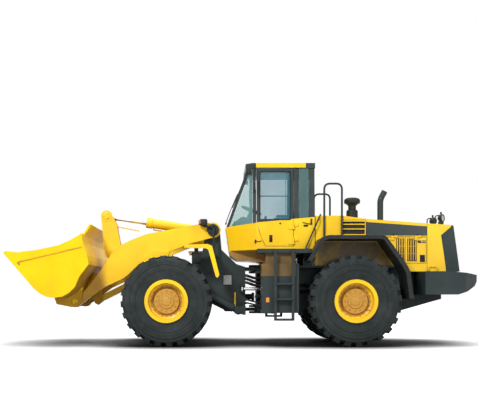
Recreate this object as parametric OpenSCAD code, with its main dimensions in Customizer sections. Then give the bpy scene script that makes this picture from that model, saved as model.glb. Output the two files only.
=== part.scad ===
// Articulated wheel loader with a Z-bar front linkage, in millimetres.
// It faces -X, its left side is -Y, up is +Z, and the ground is Z = 0.

/* [Wheels] */
// Radius of a tyre over its lugs
tyre_r = 820; // [780:1:850]
// Width of a tyre
tyre_w = 620; // [560:2:660]
// Radius of the rim at the tyre's bead
bead_r = 345; // [330:1:360]
// Distance from the middle plane to a wheel's middle
wheel_y = 1110; // [1080:1:1140]
// Place of the front axle
front_axle_x = -1388; // [-1420:1:-1360]
// Place of the rear axle
rear_axle_x = 2012; // [1980:1:2040]
// Radius of an axle's spindle
spindle_r = 120; // [100:1:140]
// Number of lugs on each shoulder of a tyre
lug_count = 24; // [20:1:24]
// Height of a lug
lug_h = 42; // [30:1:50]
// Width of a lug along the tread
lug_w = 110; // [90:1:120]

/* [Pins] */
// Radial running clearance of a pin in its eye
run_fit = 0.05; // [0.02:0.01:0.08]
// Radius of the steering hinge pins
hinge_pin_r = 60; // [50:1:70]
// Radius of the boom's pivot pins
boom_pin_r = 65; // [55:1:75]
// Radius of the bucket's hinge pins
bucket_pin_r = 55; // [45:1:60]
// Radius of the bellcrank's pin
crank_pin_r = 55; // [45:1:60]
// Radius of the pins at both ends of the bucket link
link_pin_r = 45; // [40:1:50]

/* [Boom] */
// Middle of a boom arm, from the middle plane
arm_y = 600; // [590:1:610]
// Thickness of a boom arm
arm_t = 80; // [70:1:90]
// Gap beside an arm at its pins
arm_gap = 15; // [10:1:20]

/* [Bucket] */
// Half the width over the bucket's sides
bucket_hw = 1480; // [1440:1:1500]
// Thickness of a bucket side
bucket_side_t = 40; // [30:1:50]

/* [Cylinders] */
// Radius of the tilt cylinder's barrel
tilt_barrel_r = 105; // [100:1:110]
// Radius of the tilt cylinder's rod
tilt_rod_r = 52; // [45:1:55]
// Radius of a lift cylinder's barrel
lift_barrel_r = 88; // [80:1:92]
// Radius of a lift cylinder's rod
lift_rod_r = 50; // [45:1:55]
// Radius of a steering cylinder's barrel
steer_barrel_r = 52; // [46:1:55]
// Radius of a steering cylinder's rod
steer_rod_r = 28; // [24:1:32]

/* [Cab] */
// Half the width of the cab
cab_hw = 790; // [780:1:800]
// Thickness of the cab's walls and door
cab_t = 50; // [40:1:60]
// Gap around the cab door
door_gap = 8; // [6:1:12]

/* [Body] */
// Half the width of the hood
hood_hw = 760; // [740:1:770]
// Thickness of the hood's panels
hood_t = 40; // [30:1:50]
// Thickness of an engine door
engine_door_t = 12; // [8:1:14]
// Half the width of the counterweight
weight_hw = 1290; // [1240:5:1320]
// Chamfer of the counterweight's rear corners
weight_corner = 275; // [150:5:350]
// Radius of the four hitch bolt holes in the counterweight
hitch_hole_r = 11; // [9:0.5:13]

/* [Hidden] */
$fn = 48;
axle_z = tyre_r;
wheel_in = wheel_y - tyre_w / 2;
wheel_out = wheel_y + tyre_w / 2;
pad_top = axle_z + 180;
hinge_x = (front_axle_x + rear_axle_x) / 2;
arm_in = arm_y - arm_t / 2;
arm_out = arm_y + arm_t / 2;
// Half the space in a boom arm's fork for the lift rod, and how far its plates stand off the arm
fork_half = lift_rod_r + 5;
fork_gap = fork_half - arm_t / 2;
// Pins of the front linkage at rest, as X and Z
boom_pivot = [-552, 2151];
bucket_pin = [-3135, 812];
crank_pin = [-2470, 1735];
crank_top = [-2621, 2465];
crank_low = [-2010, 1220];
link_end = [-2796, 830];
lift_base = [-80, 640];
lift_eye = [-1630, 1424];
// Pins of a steering cylinder, as X and distance from the middle plane
steer_front = [0, 560];
steer_rear = [1300, 500];
steer_z = 1050;
// Height of the drive shafts
shaft_z = 900;
// Frame plates
plate_in = 420;
plate_out = 480;
rear_in = 380;
rear_out = 430;
deck_z = 1480;
// Inner face of the tanks, outside the reach of the turning front frame
tank_in = 860;
weight_x = 4281;
cab_z = 1773;
cab_x0 = -310;
cab_x1 = 1340;
// Height of the slanting sill at a place along the cab
function sill(x) = 2228 + (x - cab_x0) * 0.095;

module xz(pts, y0, y1) {
  translate([0, y1, 0]) rotate([90, 0, 0]) linear_extrude(y1 - y0) polygon(pts);
}

module xy(pts, z0, z1) {
  translate([0, 0, z0]) linear_extrude(z1 - z0) polygon(pts);
}

module cyl_y(p, r, y0, y1) {
  translate([p[0], y1, p[1]]) rotate([90, 0, 0]) cylinder(r = r, h = y1 - y0);
}

module cyl_z(x, y, r, z0, z1) {
  translate([x, y, z0]) cylinder(r = r, h = z1 - z0);
}

module cyl_x(y, z, r, x0, x1) {
  translate([x0, y, z]) rotate([0, 90, 0]) cylinder(r = r, h = x1 - x0);
}

module box(a, b) {
  translate(a) cube(b - a);
}

module bar(p, q, r) {
  d = q - p;
  l = norm(d);
  translate(p) rotate([0, acos(d[2] / l), atan2(d[1], d[0])]) cylinder(r = r, h = l);
}

module both() {
  children();
  mirror([0, 1, 0]) children();
}

// A point on the line from p to q, d from p
function along(p, q, d) = p + (q - p) * d / norm(q - p);
function at_y(p, y) = [p[0], y, p[1]];

// Wheels

module tyre_form(x) {
  tread_r = tyre_r - lug_h;
  shoulder = tyre_w / 2;
  tip = sqrt(tyre_r * tyre_r - lug_w * lug_w / 4);
  lean = asin(lug_w / 2 / tyre_r);
  translate([x, -wheel_y, axle_z]) rotate([90, 0, 0]) {
    rotate_extrude($fn = lug_count) polygon([
      [bead_r, -250], [600, -shoulder], [735, 8 - shoulder], [tread_r, 75 - shoulder],
      [tread_r, shoulder - 75],
      [735, shoulder - 8], [600, shoulder], [bead_r, 250]
    ]);
    for (k = [0:lug_count - 1], side = [0, 1])
      rotate([0, 0, (k + side / 2) * 360 / lug_count - 90 + lean]) mirror([0, 0, side])
        translate([0, lug_w / 2, 0]) rotate([90, 0, 0]) linear_extrude(lug_w) polygon([
          [tread_r - 60, 12], [tip, 12], [tip, shoulder - 48], [728, shoulder - 9],
          [tread_r - 60, shoulder - 20]
        ]);
  }
}

module rim_form(x) {
  translate([x, -wheel_y, axle_z]) rotate([90, 0, 0]) rotate_extrude()
    polygon([
      [bead_r, -250], [bead_r, 250], [bead_r + 45, 265], [bead_r + 45, 290], [bead_r - 20, 290],
      [bead_r - 30, 240], [bead_r - 30, 130], [240, 100], [225, 160], [140, 160], [130, 185], [0, 185],
      [0, 60], [spindle_r + run_fit, 60], [spindle_r + run_fit, -120], [225, -120], [240, 60],
      [bead_r - 30, 90], [bead_r - 30, -240], [bead_r - 20, -290], [bead_r + 45, -290], [bead_r + 45, -265]
    ]);
}

module tyre_front_left() { color("#202224") tyre_form(front_axle_x); }
module tyre_front_right() { color("#202224") mirror([0, 1, 0]) tyre_form(front_axle_x); }
module tyre_rear_left() { color("#202224") tyre_form(rear_axle_x); }
module tyre_rear_right() { color("#202224") mirror([0, 1, 0]) tyre_form(rear_axle_x); }
module rim_front_left() { color("#f5c400") rim_form(front_axle_x); }
module rim_front_right() { color("#f5c400") mirror([0, 1, 0]) rim_form(front_axle_x); }
module rim_rear_left() { color("#f5c400") rim_form(rear_axle_x); }
module rim_rear_right() { color("#f5c400") mirror([0, 1, 0]) rim_form(rear_axle_x); }

module axle_form(x, toward) {
  cyl_y([x, axle_z], 150, -700, 700);
  translate([x, 0, axle_z]) sphere(r = 250);
  cyl_x(0, shaft_z, 90, min(x, x + toward * 300), max(x, x + toward * 300));
  both() {
    cyl_y([x, axle_z], 230, -wheel_y + 125, -640);
    cyl_y([x, axle_z], spindle_r, -wheel_y - 55, -800);
    box([x - 180, -500, axle_z], [x + 180, -400, pad_top]);
  }
}

module front_axle() { color("#3a4444") axle_form(front_axle_x, 1); }
module rear_axle() { color("#3a4444") axle_form(rear_axle_x, -1); }

// Front frame

module front_frame() {
  color("#3a4444") difference() {
    union() {
      both() {
        xz([
          [-1620, pad_top], [-1620, 1300], [-1250, 1440], [-790, 1520], [-690, 2151], [-420, 2140],
          [-390, 1790],
          [-110, 1520], [60, 1465], [60, 620], [-324, 620], [-560, 860], [-1100, 900], [-1100, pad_top]
        ], -plate_out, -plate_in);
        cyl_y(boom_pivot, 140, -plate_out, -plate_in);
        cyl_y(boom_pivot, 110, -arm_in + arm_gap, -plate_in);
        cyl_y(boom_pivot, boom_pin_r, -arm_out - arm_gap - 20, -plate_in);
        cyl_y(boom_pivot, 115, -arm_out - arm_gap - 30, -arm_out - arm_gap);
        box([10, -arm_y - 100, 560], [60, -plate_in, 730]);
        for (y = [-arm_y - 95, -arm_y + 55])
          xz([[-130, 580], [60, 560], [60, 730], [-130, 700]], y, y + 40);
        cyl_y(lift_base, 78, -arm_y - 95, -arm_y - 55);
        cyl_y(lift_base, 78, -arm_y + 55, -arm_y + 95);
        cyl_y(lift_base, 40, -arm_y - 95, -arm_y + 95);
        box([-600, -830, 1640], [-480, -plate_in, 1700]);
      }
      box([0, -plate_out, 620], [60, plate_out, 1465]);
      box([-1620, -plate_in, pad_top], [-1570, plate_in, 1290]);
      box([-520, -plate_in, 1700], [-420, plate_in, 1880]);
      both() xz([[-652, 2151], [-600, 1880], [-520, 1720], [-420, 1720], [-420, 1880],
        [-452, 2151]], -110, -68);
      both() cyl_y(boom_pivot, 100, -110, -68);
      cyl_y(boom_pivot, boom_pin_r, -110, 110);
      for (z = [625, 1405]) {
        xy([[60, -300], [hinge_x, -170], [hinge_x, 170], [60, 300]], z, z + 60);
        cyl_z(hinge_x, 0, 170, z, z + 60);
      }
      both() for (z = [steer_z - 65, steer_z + 40]) {
        xy([[-45, -steer_front[1]], [-45, -plate_in], [60, -plate_in], [45, -steer_front[1]]], z, z + 25);
        cyl_z(steer_front[0], -steer_front[1], 45, z, z + 25);
      }
    }
    cyl_z(hinge_x, 0, hinge_pin_r + run_fit, 500, 1600);
    cyl_x(0, shaft_z, 130, -100, 100);
  }
}

module front_fenders() {
  color("#f5c400") both() xz([
    [-1060, 1832], [-645, 1842], [-566, 1808], [-436, 1292], [-468, 1240], [-492, 1262], [-468, 1300],
    [-594, 1785], [-655, 1808], [-1060, 1798]
  ], -wheel_out + 20, -830);
}

module head_lamps() {
  color("#22262a") both() {
    box([-560, -790, 1700], [-520, -750, 2200]);
    box([-780, -790, 2200], [-520, -750, 2230]);
    box([-800, -850, 2230], [-680, -700, 2370]);
  }
}

module front_drive_shaft() {
  color("#3a4444") {
    cyl_x(0, shaft_z, 55, front_axle_x + 300, hinge_x - 62);
    cyl_x(0, shaft_z, 80, hinge_x - 110, hinge_x - 62);
  }
}

// Boom and Z-bar linkage

module boom_arms() {
  color("#f5c400") both() difference() {
    union() {
      xz([
        [-603, 2290], [-890, 2250], [-1338, 2165], [-1806, 2075], [-2093, 1965], [-2281, 1872],
        [-2470, 1690],
        [-2640, 1430], [-2790, 1225], [-2920, 1060], [-3050, 920], [-3135, 812], [-3050, 745],
        [-2598, 1076],
        [-2254, 1237], [-2147, 1310], [-1948, 1507], [-1697, 1650], [-1340, 1757], [-997, 1894],
        [-560, 2010]
      ], -arm_out, -arm_in);
      cyl_y(boom_pivot, 145, -arm_out, -arm_in);
      cyl_y(bucket_pin, 105, -arm_out, -arm_in);
      for (y = [-arm_out - fork_gap - 25, -arm_in + fork_gap])
        xz([
          [-1900, 1560], [-1760, 1390], [lift_eye[0], 1335], [-1530, 1390], [-1360, 1740], [-1700, 1760]
        ], y, y + 25);
      xz([[-1850, 1620], [-1440, 1735], [-1380, 1745],
        [-1700, 1755]], -arm_out - fork_gap, -arm_in + fork_gap);
    }
    cyl_y(boom_pivot, boom_pin_r + run_fit, -arm_out - 50, -arm_in + 50);
    cyl_y(bucket_pin, bucket_pin_r + run_fit, -arm_out - 50, -arm_in + 50);
  }
}

module boom_cross_tube() {
  color("#f5c400") difference() {
    union() {
      cyl_y([-2165, 1700], 110, -arm_in, arm_in);
      both() {
        xz([[crank_pin[0], 1845], [-2165, 1800], [-2165, 1600], [crank_pin[0], 1625]], -165, -120);
        cyl_y(crank_pin, 110, -165, -120);
      }
      cyl_y(crank_pin, crank_pin_r, -165, 165);
    }
  }
}

module bellcrank() {
  color("#f5c400") difference() {
    union() {
      both() {
        xz([
          [-2728, 2440], [-2714, 2309], [-2690, 2028], [-2640, 1700], [-2560, 1600], [-2110, 1180],
          [-2010, 1125],
          [-1930, 1260], [-2290, 1640], [-2335, 1760], [-2351, 1898], [-2398, 2141], [-2425, 2307],
          [-2515, 2490]
        ], -110, -68);
        cyl_y(crank_top, 110, -115, -68);
        cyl_y(crank_low, 95, -110, -68);
      }
      cyl_y(crank_pin, 135, -110, 110);
      cyl_y(crank_low, link_pin_r, -110, 110);
    }
    cyl_y(crank_pin, crank_pin_r + run_fit, -200, 200);
  }
}

module bucket_link() {
  d = (link_end - crank_low) / norm(link_end - crank_low);
  n = [-d[1], d[0]];
  color("#f5c400") difference() {
    union() {
      xz([crank_low + n * 60, link_end + n * 60, link_end - n * 60, crank_low - n * 60], -45, 45);
      cyl_y(crank_low, 85, -55, 55);
      cyl_y(link_end, 80, -45, 45);
      cyl_y(link_end, link_pin_r, -63, 63);
    }
    cyl_y(crank_low, link_pin_r + run_fit, -70, 70);
  }
}

// Bucket

bucket_out = [
  [-4235, 1629], [-3743, 1057], [-3625, 954], [-3500, 897], [-3375, 881], [-3228, 903], [-3110, 968],
  [-3007, 1071], [-2925, 1260], [-2760, 1476], [-2790, 1647], [-2870, 1881], [-2881, 2028]
];
bucket_in = [
  [-2911, 2020], [-2900, 1870], [-2822, 1640], [-2795, 1485], [-2955, 1275], [-3035, 1095], [-3130, 1003],
  [-3240, 943], [-3375, 921], [-3488, 936], [-3603, 988], [-3716, 1085], [-4202, 1649]
];

module bucket() {
  color("#f5c400") difference() {
    union() {
      xz(concat(bucket_out, bucket_in), -bucket_hw, bucket_hw);
      both() xz(concat(bucket_out, [
        [-3110, 1897], [-3302, 1815], [-3670, 1734], [-4037, 1690], [-4240, 1715], [-4281, 1682]
      ]), -bucket_hw, -bucket_hw + bucket_side_t);
      xz([[-2911, 2020], [-2881, 2010], [-2752, 2205], [-2784, 2222]], -1200, 1200);
      both() {
        for (y = [-arm_out - arm_gap - 45, -arm_in + arm_gap]) {
          xz([
            [-3520, 890], [-3480, 760], [-3200, 705], [-3060, 730], [-3010, 812], [-2990, 1095],
            [-3110, 980],
            [-3228, 915], [-3375, 895]
          ], y, y + 45);
          cyl_y(bucket_pin, 112, y, y + 45);
        }
        cyl_y(bucket_pin, bucket_pin_r, -arm_out - arm_gap - 60, -arm_in + arm_gap + 60);
        xz([
          [-3050, 1045], [-2905, 850], [link_end[0], 738], [-2710, 800], [-2710, 900], [-2850, 1380],
          [-2925, 1275],
          [-3007, 1085]
        ], -110, -70);
      }
    }
  }
}

module bucket_edge() {
  color("#4a4f52") {
    xz([[-3870, 1264], [-4202, 1649], [-4235, 1629], [-4281, 1682], [-4240, 1715], [-4189, 1676],
      [-3849, 1282]],
      -bucket_hw + bucket_side_t, bucket_hw - bucket_side_t);
  }
}

// Cylinders

module tilt_barrel() {
  p = at_y(boom_pivot, 0);
  q = at_y(crank_top, 0);
  color("#f5c400") difference() {
    union() {
      bar(along(p, q, 130), along(p, q, 1230), tilt_barrel_r - 12);
      bar(along(p, q, 1200), along(p, q, 1310), tilt_barrel_r);
      cyl_y(boom_pivot, 95, -60, 60);
      bar(along(p, q, 20), along(p, q, 140), 58);
    }
    cyl_y(boom_pivot, boom_pin_r + run_fit, -100, 100);
    bar(along(p, q, 170), along(p, q, 1400), tilt_rod_r + run_fit);
  }
}

module tilt_rod() {
  p = at_y(boom_pivot, 0);
  q = at_y(crank_top, 0);
  color("#c8ccd0") {
    bar(along(p, q, 830), along(p, q, norm(q - p) - 30), tilt_rod_r);
    cyl_y(crank_top, 85, -55, 55);
    cyl_y(crank_top, 45, -63, 63);
  }
}

module lift_barrels() {
  p = at_y(lift_base, -arm_y);
  q = at_y(lift_eye, -arm_y);
  color("#f5c400") both() difference() {
    union() {
      bar(along(p, q, 95), along(p, q, 1300), lift_barrel_r - 10);
      bar(along(p, q, 1260), along(p, q, 1360), lift_barrel_r);
      cyl_y(lift_base, 75, -arm_y - 48, -arm_y + 48);
      bar(along(p, q, 20), along(p, q, 100), 46);
    }
    cyl_y(lift_base, 40 + run_fit, -arm_y - 100, -arm_y + 100);
    bar(along(p, q, 110), along(p, q, 1500), lift_rod_r + run_fit);
  }
}

module lift_rods() {
  p = at_y(lift_base, -arm_y);
  q = at_y(lift_eye, -arm_y);
  color("#c8ccd0") both() {
    bar(along(p, q, 300), along(p, q, norm(q - p) - 25), lift_rod_r);
    cyl_y(lift_eye, 70, -arm_y - fork_half + 5, -arm_y + fork_half - 5);
  }
}

module steer_barrel_form() {
  p = [steer_rear[0], -steer_rear[1], steer_z];
  q = [steer_front[0], -steer_front[1], steer_z];
  difference() {
    union() {
      bar(along(p, q, 110), along(p, q, 850), steer_barrel_r);
      cyl_z(p[0], p[1], 45, steer_z - 30, steer_z + 30);
      bar(along(p, q, 10), along(p, q, 115), 28);
    }
    cyl_z(p[0], p[1], 25 + run_fit, steer_z - 100, steer_z + 100);
    bar(along(p, q, 130), along(p, q, 900), steer_rod_r + run_fit);
  }
}

module steer_rod_form() {
  p = [steer_rear[0], -steer_rear[1], steer_z];
  q = [steer_front[0], -steer_front[1], steer_z];
  bar(along(p, q, 470), along(p, q, norm(q - p) - 15), steer_rod_r);
  cyl_z(q[0], q[1], 40, steer_z - 32, steer_z + 32);
}

module steer_barrel_left() { color("#22262a") steer_barrel_form(); }
module steer_barrel_right() { color("#22262a") mirror([0, 1, 0]) steer_barrel_form(); }
module steer_rod_left() { color("#c8ccd0") steer_rod_form(); }
module steer_rod_right() { color("#c8ccd0") mirror([0, 1, 0]) steer_rod_form(); }

// Rear frame and what it carries

module rear_frame() {
  color("#3a4444") difference() {
    union() {
      both() {
        xz([
          [560, 575], [900, 640], [1500, 700], [3015, 636], [3790, 857], [3790, 940], [3271, 940],
          [3271, 1440],
          [560, 1440]
        ], -rear_out, -rear_in);
        box([650, -tank_in, 1300], [950, -rear_in, 1440]);
        for (z = [steer_z - 65, steer_z + 40]) {
          xy([[1255, -steer_rear[1]], [1200, -rear_in], [1400, -rear_in],
            [1345, -steer_rear[1]]], z, z + 25);
          cyl_z(steer_rear[0], -steer_rear[1], 45, z, z + 25);
        }
        cyl_z(steer_rear[0], -steer_rear[1], 25, steer_z - 65, steer_z + 65);
      }
      box([560, -rear_out, 575], [620, rear_out, 1515]);
      box([1500, -rear_in, 760], [1560, rear_in, 1440]);
      box([3211, -rear_in, 800], [3271, rear_in, 1440]);
      for (z = [575, 695, 1355, 1475]) {
        xy([[hinge_x, -165], [560, -260], [560, 260], [hinge_x, 165]], z, z + 40);
        cyl_z(hinge_x, 0, 165, z, z + 40);
      }
      cyl_z(hinge_x, 0, hinge_pin_r, 575, 735);
      cyl_z(hinge_x, 0, hinge_pin_r, 1355, 1515);
    }
    both() box([540, -500, steer_z - 90], [1230, -335, steer_z + 90]);
    both() box([rear_axle_x - 190, -500, 500], [rear_axle_x + 190, -300, pad_top]);
    cyl_x(0, shaft_z, 130, 500, 700);
    cyl_x(0, shaft_z, 130, 1480, 1580);
  }
}

module rear_deck() {
  color("#3a4444") difference() {
    union() {
      box([620, -hood_hw, 1440], [skirt_x, hood_hw, deck_z]);
      box([skirt_x - 1, hood_t - hood_hw, 1440], [3720, hood_hw - hood_t, deck_z]);
      both() for (x = [660, 1150])
        box([x, -690, deck_z], [x + 140, -560, cab_z]);
    }
    box([2340, -rear_in, 1400], [3200, rear_in, 1500]);
  }
}

module counterweight() {
  color("#3a4444") difference() {
    xz([
      [3271, 940], [3863, 940], [4050, 1000], [4230, 1098], [weight_x, 1180], [weight_x, 1300],
      [4046, 1330],
      [3720, 1360], [3271, 1360]
    ], -weight_hw, weight_hw);
    for (y = [-150, 150])
      for (z = [1210, 1270])
        cyl_x(y, z, hitch_hole_r, weight_x - 60, weight_x + 10);
    both() xy([
      [weight_x - weight_corner, -weight_hw], [weight_x, -weight_hw + weight_corner],
      [weight_x + 10, -weight_hw + weight_corner], [weight_x + 10, -weight_hw - 10],
      [weight_x - weight_corner, -weight_hw - 10]
    ], 900, 1400);
  }
}

module engine_block() {
  color("#5a5f60") box([2340, -rear_in, 1000], [3200, rear_in, 2050]);
}

module transmission() {
  color("#4a5052") {
    box([960, -260, 640], [1500, 260, 1300]);
    cyl_x(0, shaft_z, 55, hinge_x + 90, 970);
    cyl_x(0, shaft_z, 80, hinge_x + 90, hinge_x + 130);
    translate([hinge_x, 0, shaft_z]) sphere(r = 50);
    cyl_x(0, shaft_z, 35, hinge_x, hinge_x + 100);
    cyl_x(0, shaft_z, 60, 1490, rear_axle_x - 300);
  }
}

hood_top = 2410;
skirt_x = 3050;
skirt_z = 1370;
door_hinge_x = [2760, 3200];
door_hinge_z = 2014;
small_pin_r = 8;
hood_out = [
  [1360, deck_z], [1360, hood_top], [1865, hood_top], [2362, 2345], [3437, 2267], [3894, 2238],
  [3880, 2200],
  [3698, 2047], [3781, 1469], [3788, skirt_z], [skirt_x, skirt_z], [skirt_x, deck_z]
];

module hood() {
  inner = [
    [1400, skirt_z - 10], [1400, 2370], [1862, 2370], [2360, 2305], [3434, 2227], [4000, 2190],
    [4000, skirt_z - 10]
  ];
  color("#f5c400") difference() {
    xz(hood_out, -hood_hw, hood_hw);
    xz(inner, -hood_hw + hood_t, hood_hw - hood_t);
    both() box([1870, -hood_hw - 10, 2066], [2280, -hood_hw + hood_t + 10, 2300]);
    both() xz([[2930, 1520], [3425, 1520], [3425, 2020],
      [2620, 2020]], -hood_hw - 10, -hood_hw + hood_t + 10);
  }
  color("#f5c400") both() for (z = [2152, 2240])
    box([1870, -hood_hw + 5, z], [2280, -hood_hw + 30, z + 20]);
  color("#f5c400") both() for (x = door_hinge_x) {
    cyl_x(-hood_hw - 25, door_hinge_z, 14, x + 62, x + 120);
    cyl_x(-hood_hw - 25, door_hinge_z, small_pin_r, x, x + 120);
    box([x + 62, -hood_hw - 34, door_hinge_z + 4], [x + 120, -hood_hw + 10, door_hinge_z + 60]);
  }
}

module engine_door_form() {
  difference() {
    union() {
      xz([
        [2936 + door_gap, 1520 + door_gap], [3425 - door_gap, 1520 + door_gap],
        [3425 - door_gap, 2008], [2641, 2008]
      ], -hood_hw, -hood_hw + engine_door_t);
      for (x = door_hinge_x) {
        cyl_x(-hood_hw - 25, door_hinge_z, 14, x, x + 58);
        box([x, -hood_hw - 34, door_hinge_z - 60], [x + 58, -hood_hw + 10, door_hinge_z - 4]);
      }
    }
    for (x = door_hinge_x)
      cyl_x(-hood_hw - 25, door_hinge_z, small_pin_r + run_fit, x - 5, x + 65);
  }
}

module engine_door_left() { color("#f5c400") engine_door_form(); }
module engine_door_right() { color("#f5c400") mirror([0, 1, 0]) engine_door_form(); }

module rear_grille() {
  color("#2a3032") difference() {
    xz([
      [3894, 2238], [3930, 2220], [4046, skirt_z], [3788, skirt_z], [3781, 1469], [3698, 2047], [3880, 2200]
    ], -hood_hw, hood_hw);
    xz([[3650, 2170], [4000, 2170], [4100, 1420], [3650, 1420]], -hood_hw + 60, hood_hw - 60);
  }
  color("#2a3032") for (k = [0:10])
    box([3850, -hood_hw + 60, 1464 + k * 62], [3880, hood_hw - 60, 1494 + k * 62]);
}

module exhaust_pipe() {
  color("#3a3a3a") difference() {
    union() {
      cyl_z(2717, 0, 62, 2300, 2890);
      translate([2717, 0, 2870]) rotate([0, 25, 0]) cylinder(r = 61, h = 120);
      cyl_z(2717, 0, 95, 2290, 2390);
    }
    xz(hood_out, -300, 300);
  }
}

module air_cleaner() {
  color("#22262a") difference() {
    translate([2166, 0, 0]) rotate_extrude() polygon([
      [0, 2330], [112, 2330], [112, 2560], [104, 2585], [76, 2600], [76, 2672], [112, 2706],
      [150, 2722], [156, 2740],
      [156, 2782], [140, 2812], [100, 2828], [0, 2828]
    ]);
    xz(hood_out, -300, 300);
  }
}

module rear_fenders() {
  color("#1c1e20") both() difference() {
    xz([
      [1150, 1549], [1389, 1954], [1510, 1995], [2485, 1995], [2544, 1974], [2908, 1467],
      [2967, 1345], [3029, 860],
      [2960, 860], [2900, 1320], [2840, 1440], [2500, 1925], [2460, 1935], [1530, 1935], [1430, 1900],
      [1215, 1530]
    ], -wheel_out + 10, -hood_hw);
    box([1100, -cab_hw - door_gap, 1500], [cab_x1 + door_gap, -hood_hw + 10, 2100]);
  }
}

module side_tanks() {
  color("#3a4444") both() box([330, -1250, 606], [1000, -tank_in, 1500]);
}

module side_platforms() {
  color("#3a4444") both() {
    box([250, -1300, 1690], [1225, -cab_hw - 5, 1765]);
    box([400, -1200, 1500], [950, -850, 1690]);
  }
}

module ladders() {
  color("#2a3032") both() {
    for (x = [545, 860])
      box([x, -1350, 470], [x + 50, -1300, 1740]);
    for (z = [470, 840, 1115])
      box([595, -1400, z], [860, -1250, z + 35]);
  }
}

module handrails() {
  y = -hood_hw - 35;
  color("#2a3032") both() {
    for (x = [1517, 1845]) {
      cyl_z(x, y, 18, 1995, 2985);
      translate([x, y, 2985]) sphere(r = 19);
      cyl_z(x, y, 30, 1995, 2010);
    }
    bar([1517, y, 2985], [1845, y, 2985], 18);
  }
}

module rear_lamps() {
  color("#22262a") both() difference() {
    union() {
      box([3780, -330, 2235], [3820, -270, 2370]);
      box([3740, -390, 2360], [3860, -210, 2520]);
    }
    xz(hood_out, -500, 500);
  }
}

// Cab

door_x0 = 257;
door_x1 = 949;
door_z0 = 1836;
cab_hinge_x = door_x1 - door_gap / 2;
cab_hinge_y = -cab_hw - 25;
cab_hinge_z = [1870, 2150];
// Half the width of the cab's nose at the sill, and of the roof
nose_hw = cab_hw - 460;
roof_hw = cab_hw - 15;
// Half the width of the pan under the cab, inside the sweep of the turning front frame
belly_hw = plate_in - 20;
cab_plan = [
  [cab_x0, -nose_hw], [250, -cab_hw], [cab_x1, -cab_hw], [cab_x1, cab_hw], [250, cab_hw], [cab_x0, nose_hw]
];
cab_plan_in = [
  [-190, 24 - nose_hw], [267, cab_t - cab_hw], [cab_x1 - 50, cab_t - cab_hw], [cab_x1 - 50, cab_hw - cab_t],
  [267, cab_hw - cab_t], [-190, nose_hw - 24]
];
roof_z = 3290;
roof_t = 100;
window_z = [2340, roof_z - 68];
// Outline of the opening for the cab door, and of the door inside it
door_hole = [
  [door_x0, roof_z], [door_x0, 2267], [351, 1978], [421, door_z0], [door_x1, door_z0], [door_x1, roof_z]
];
door_plan = [
  [door_x0 + door_gap, roof_z - door_gap], [door_x0 + door_gap, 2270], [351 + door_gap, 1981],
  [421 + door_gap, door_z0 + door_gap], [door_x1 - door_gap, door_z0 + door_gap],
  [door_x1 - door_gap, roof_z - door_gap]
];

// Everything over the sill, between two places along the cab
module over_sill(x0, x1, top) {
  xz([[x0, sill(x0)], [x1, sill(x1)], [x1, top], [x0, top]], -cab_hw - 50, cab_hw + 50);
}

module cab_base() {
  color("#f5c400") difference() {
    xy(cab_plan, cab_z, sill(cab_x1));
    xy(cab_plan_in, cab_z + 60, sill(cab_x1) + 10);
    over_sill(cab_x0 - 50, cab_x1 + 50, sill(cab_x1) + 50);
    xz([[cab_x0 - 50, sill(cab_x0)], [cab_x0, sill(cab_x0)], [cab_x0 + 68, cab_z],
      [cab_x0 + 68, cab_z - 10],
      [cab_x0 - 50, cab_z - 10]], -cab_hw, cab_hw);
    xz(door_hole, -cab_hw - 10, -cab_hw + cab_t + 10);
  }
  color("#f5c400") xz([
    [cab_x0 + 68, cab_z], [cab_x0 + 86, 1681], [-103, 1596], [149, 1584], [560, 1530], [560, cab_z]
  ], -belly_hw, belly_hw);
  color("#f5c400") for (z = cab_hinge_z) {
    cyl_z(cab_hinge_x, cab_hinge_y, 18, z + 62, z + 120);
    cyl_z(cab_hinge_x, cab_hinge_y, small_pin_r, z, z + 120);
    box([door_x1 - 1, cab_hinge_y + 9, z + 62], [door_x1 + 90, -cab_hw + 10, z + 120]);
  }
}

// A straight pillar from a place on the sill to a place under the roof
module pillar(a, b, w, t) {
  hull() {
    translate([a[0], a[1], sill(a[0]) - 20]) cube([w, t, 1]);
    translate([b[0], b[1], roof_z - 1]) cube([w, t, 1]);
  }
}

module cab_pillars() {
  lean = 36;
  color("#3a4444") both() intersection() {
    union() {
      pillar([cab_x0 + 5, -nose_hw], [85, 150 - cab_hw], 50, 50);
      pillar([190, -cab_hw], [190, lean - cab_hw], 60, cab_t);
      pillar([957, -cab_hw], [957, lean - cab_hw], 80, cab_t);
      pillar([cab_x1 - 100, -cab_hw], [cab_x1 - 100, lean - cab_hw], 100, cab_t);
    }
    over_sill(cab_x0 - 50, cab_x1 + 50, roof_z);
  }
}

module cab_roof() {
  color("#3a4444") xy([
    [60, 150 - cab_hw], [190, -roof_hw], [cab_x1 + 10, -roof_hw], [cab_x1 + 10, roof_hw], [190, roof_hw],
    [60, cab_hw - 150]
  ], roof_z, roof_z + roof_t);
}

// A flat pane with corners a and b on the sill, c and d under the roof
module pane(a, b, c, d, o) {
  p = [
    [a[0], a[1], sill(a[0] + o[0])], [b[0], b[1], sill(b[0] + o[0])], [c[0], c[1], roof_z],
    [d[0], d[1], roof_z]
  ];
  polyhedron(
    concat(p, [for (v = p) v + o]),
    [[0, 1, 2], [0, 2, 3], [6, 5, 4], [7, 6, 4], [1, 0, 4], [1, 4, 5], [2, 1, 5], [2, 5, 6],
    [3, 2, 6], [3, 6, 7],
      [0, 3, 7], [0, 7, 4]]
  );
}

// An upright pane along the cab, from the sill to the roof
module side_pane(x0, x1, y0, y1) {
  xz([[x0, sill(x0)], [x1, sill(x1)], [x1, roof_z], [x0, roof_z]], y0, y1);
}

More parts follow.
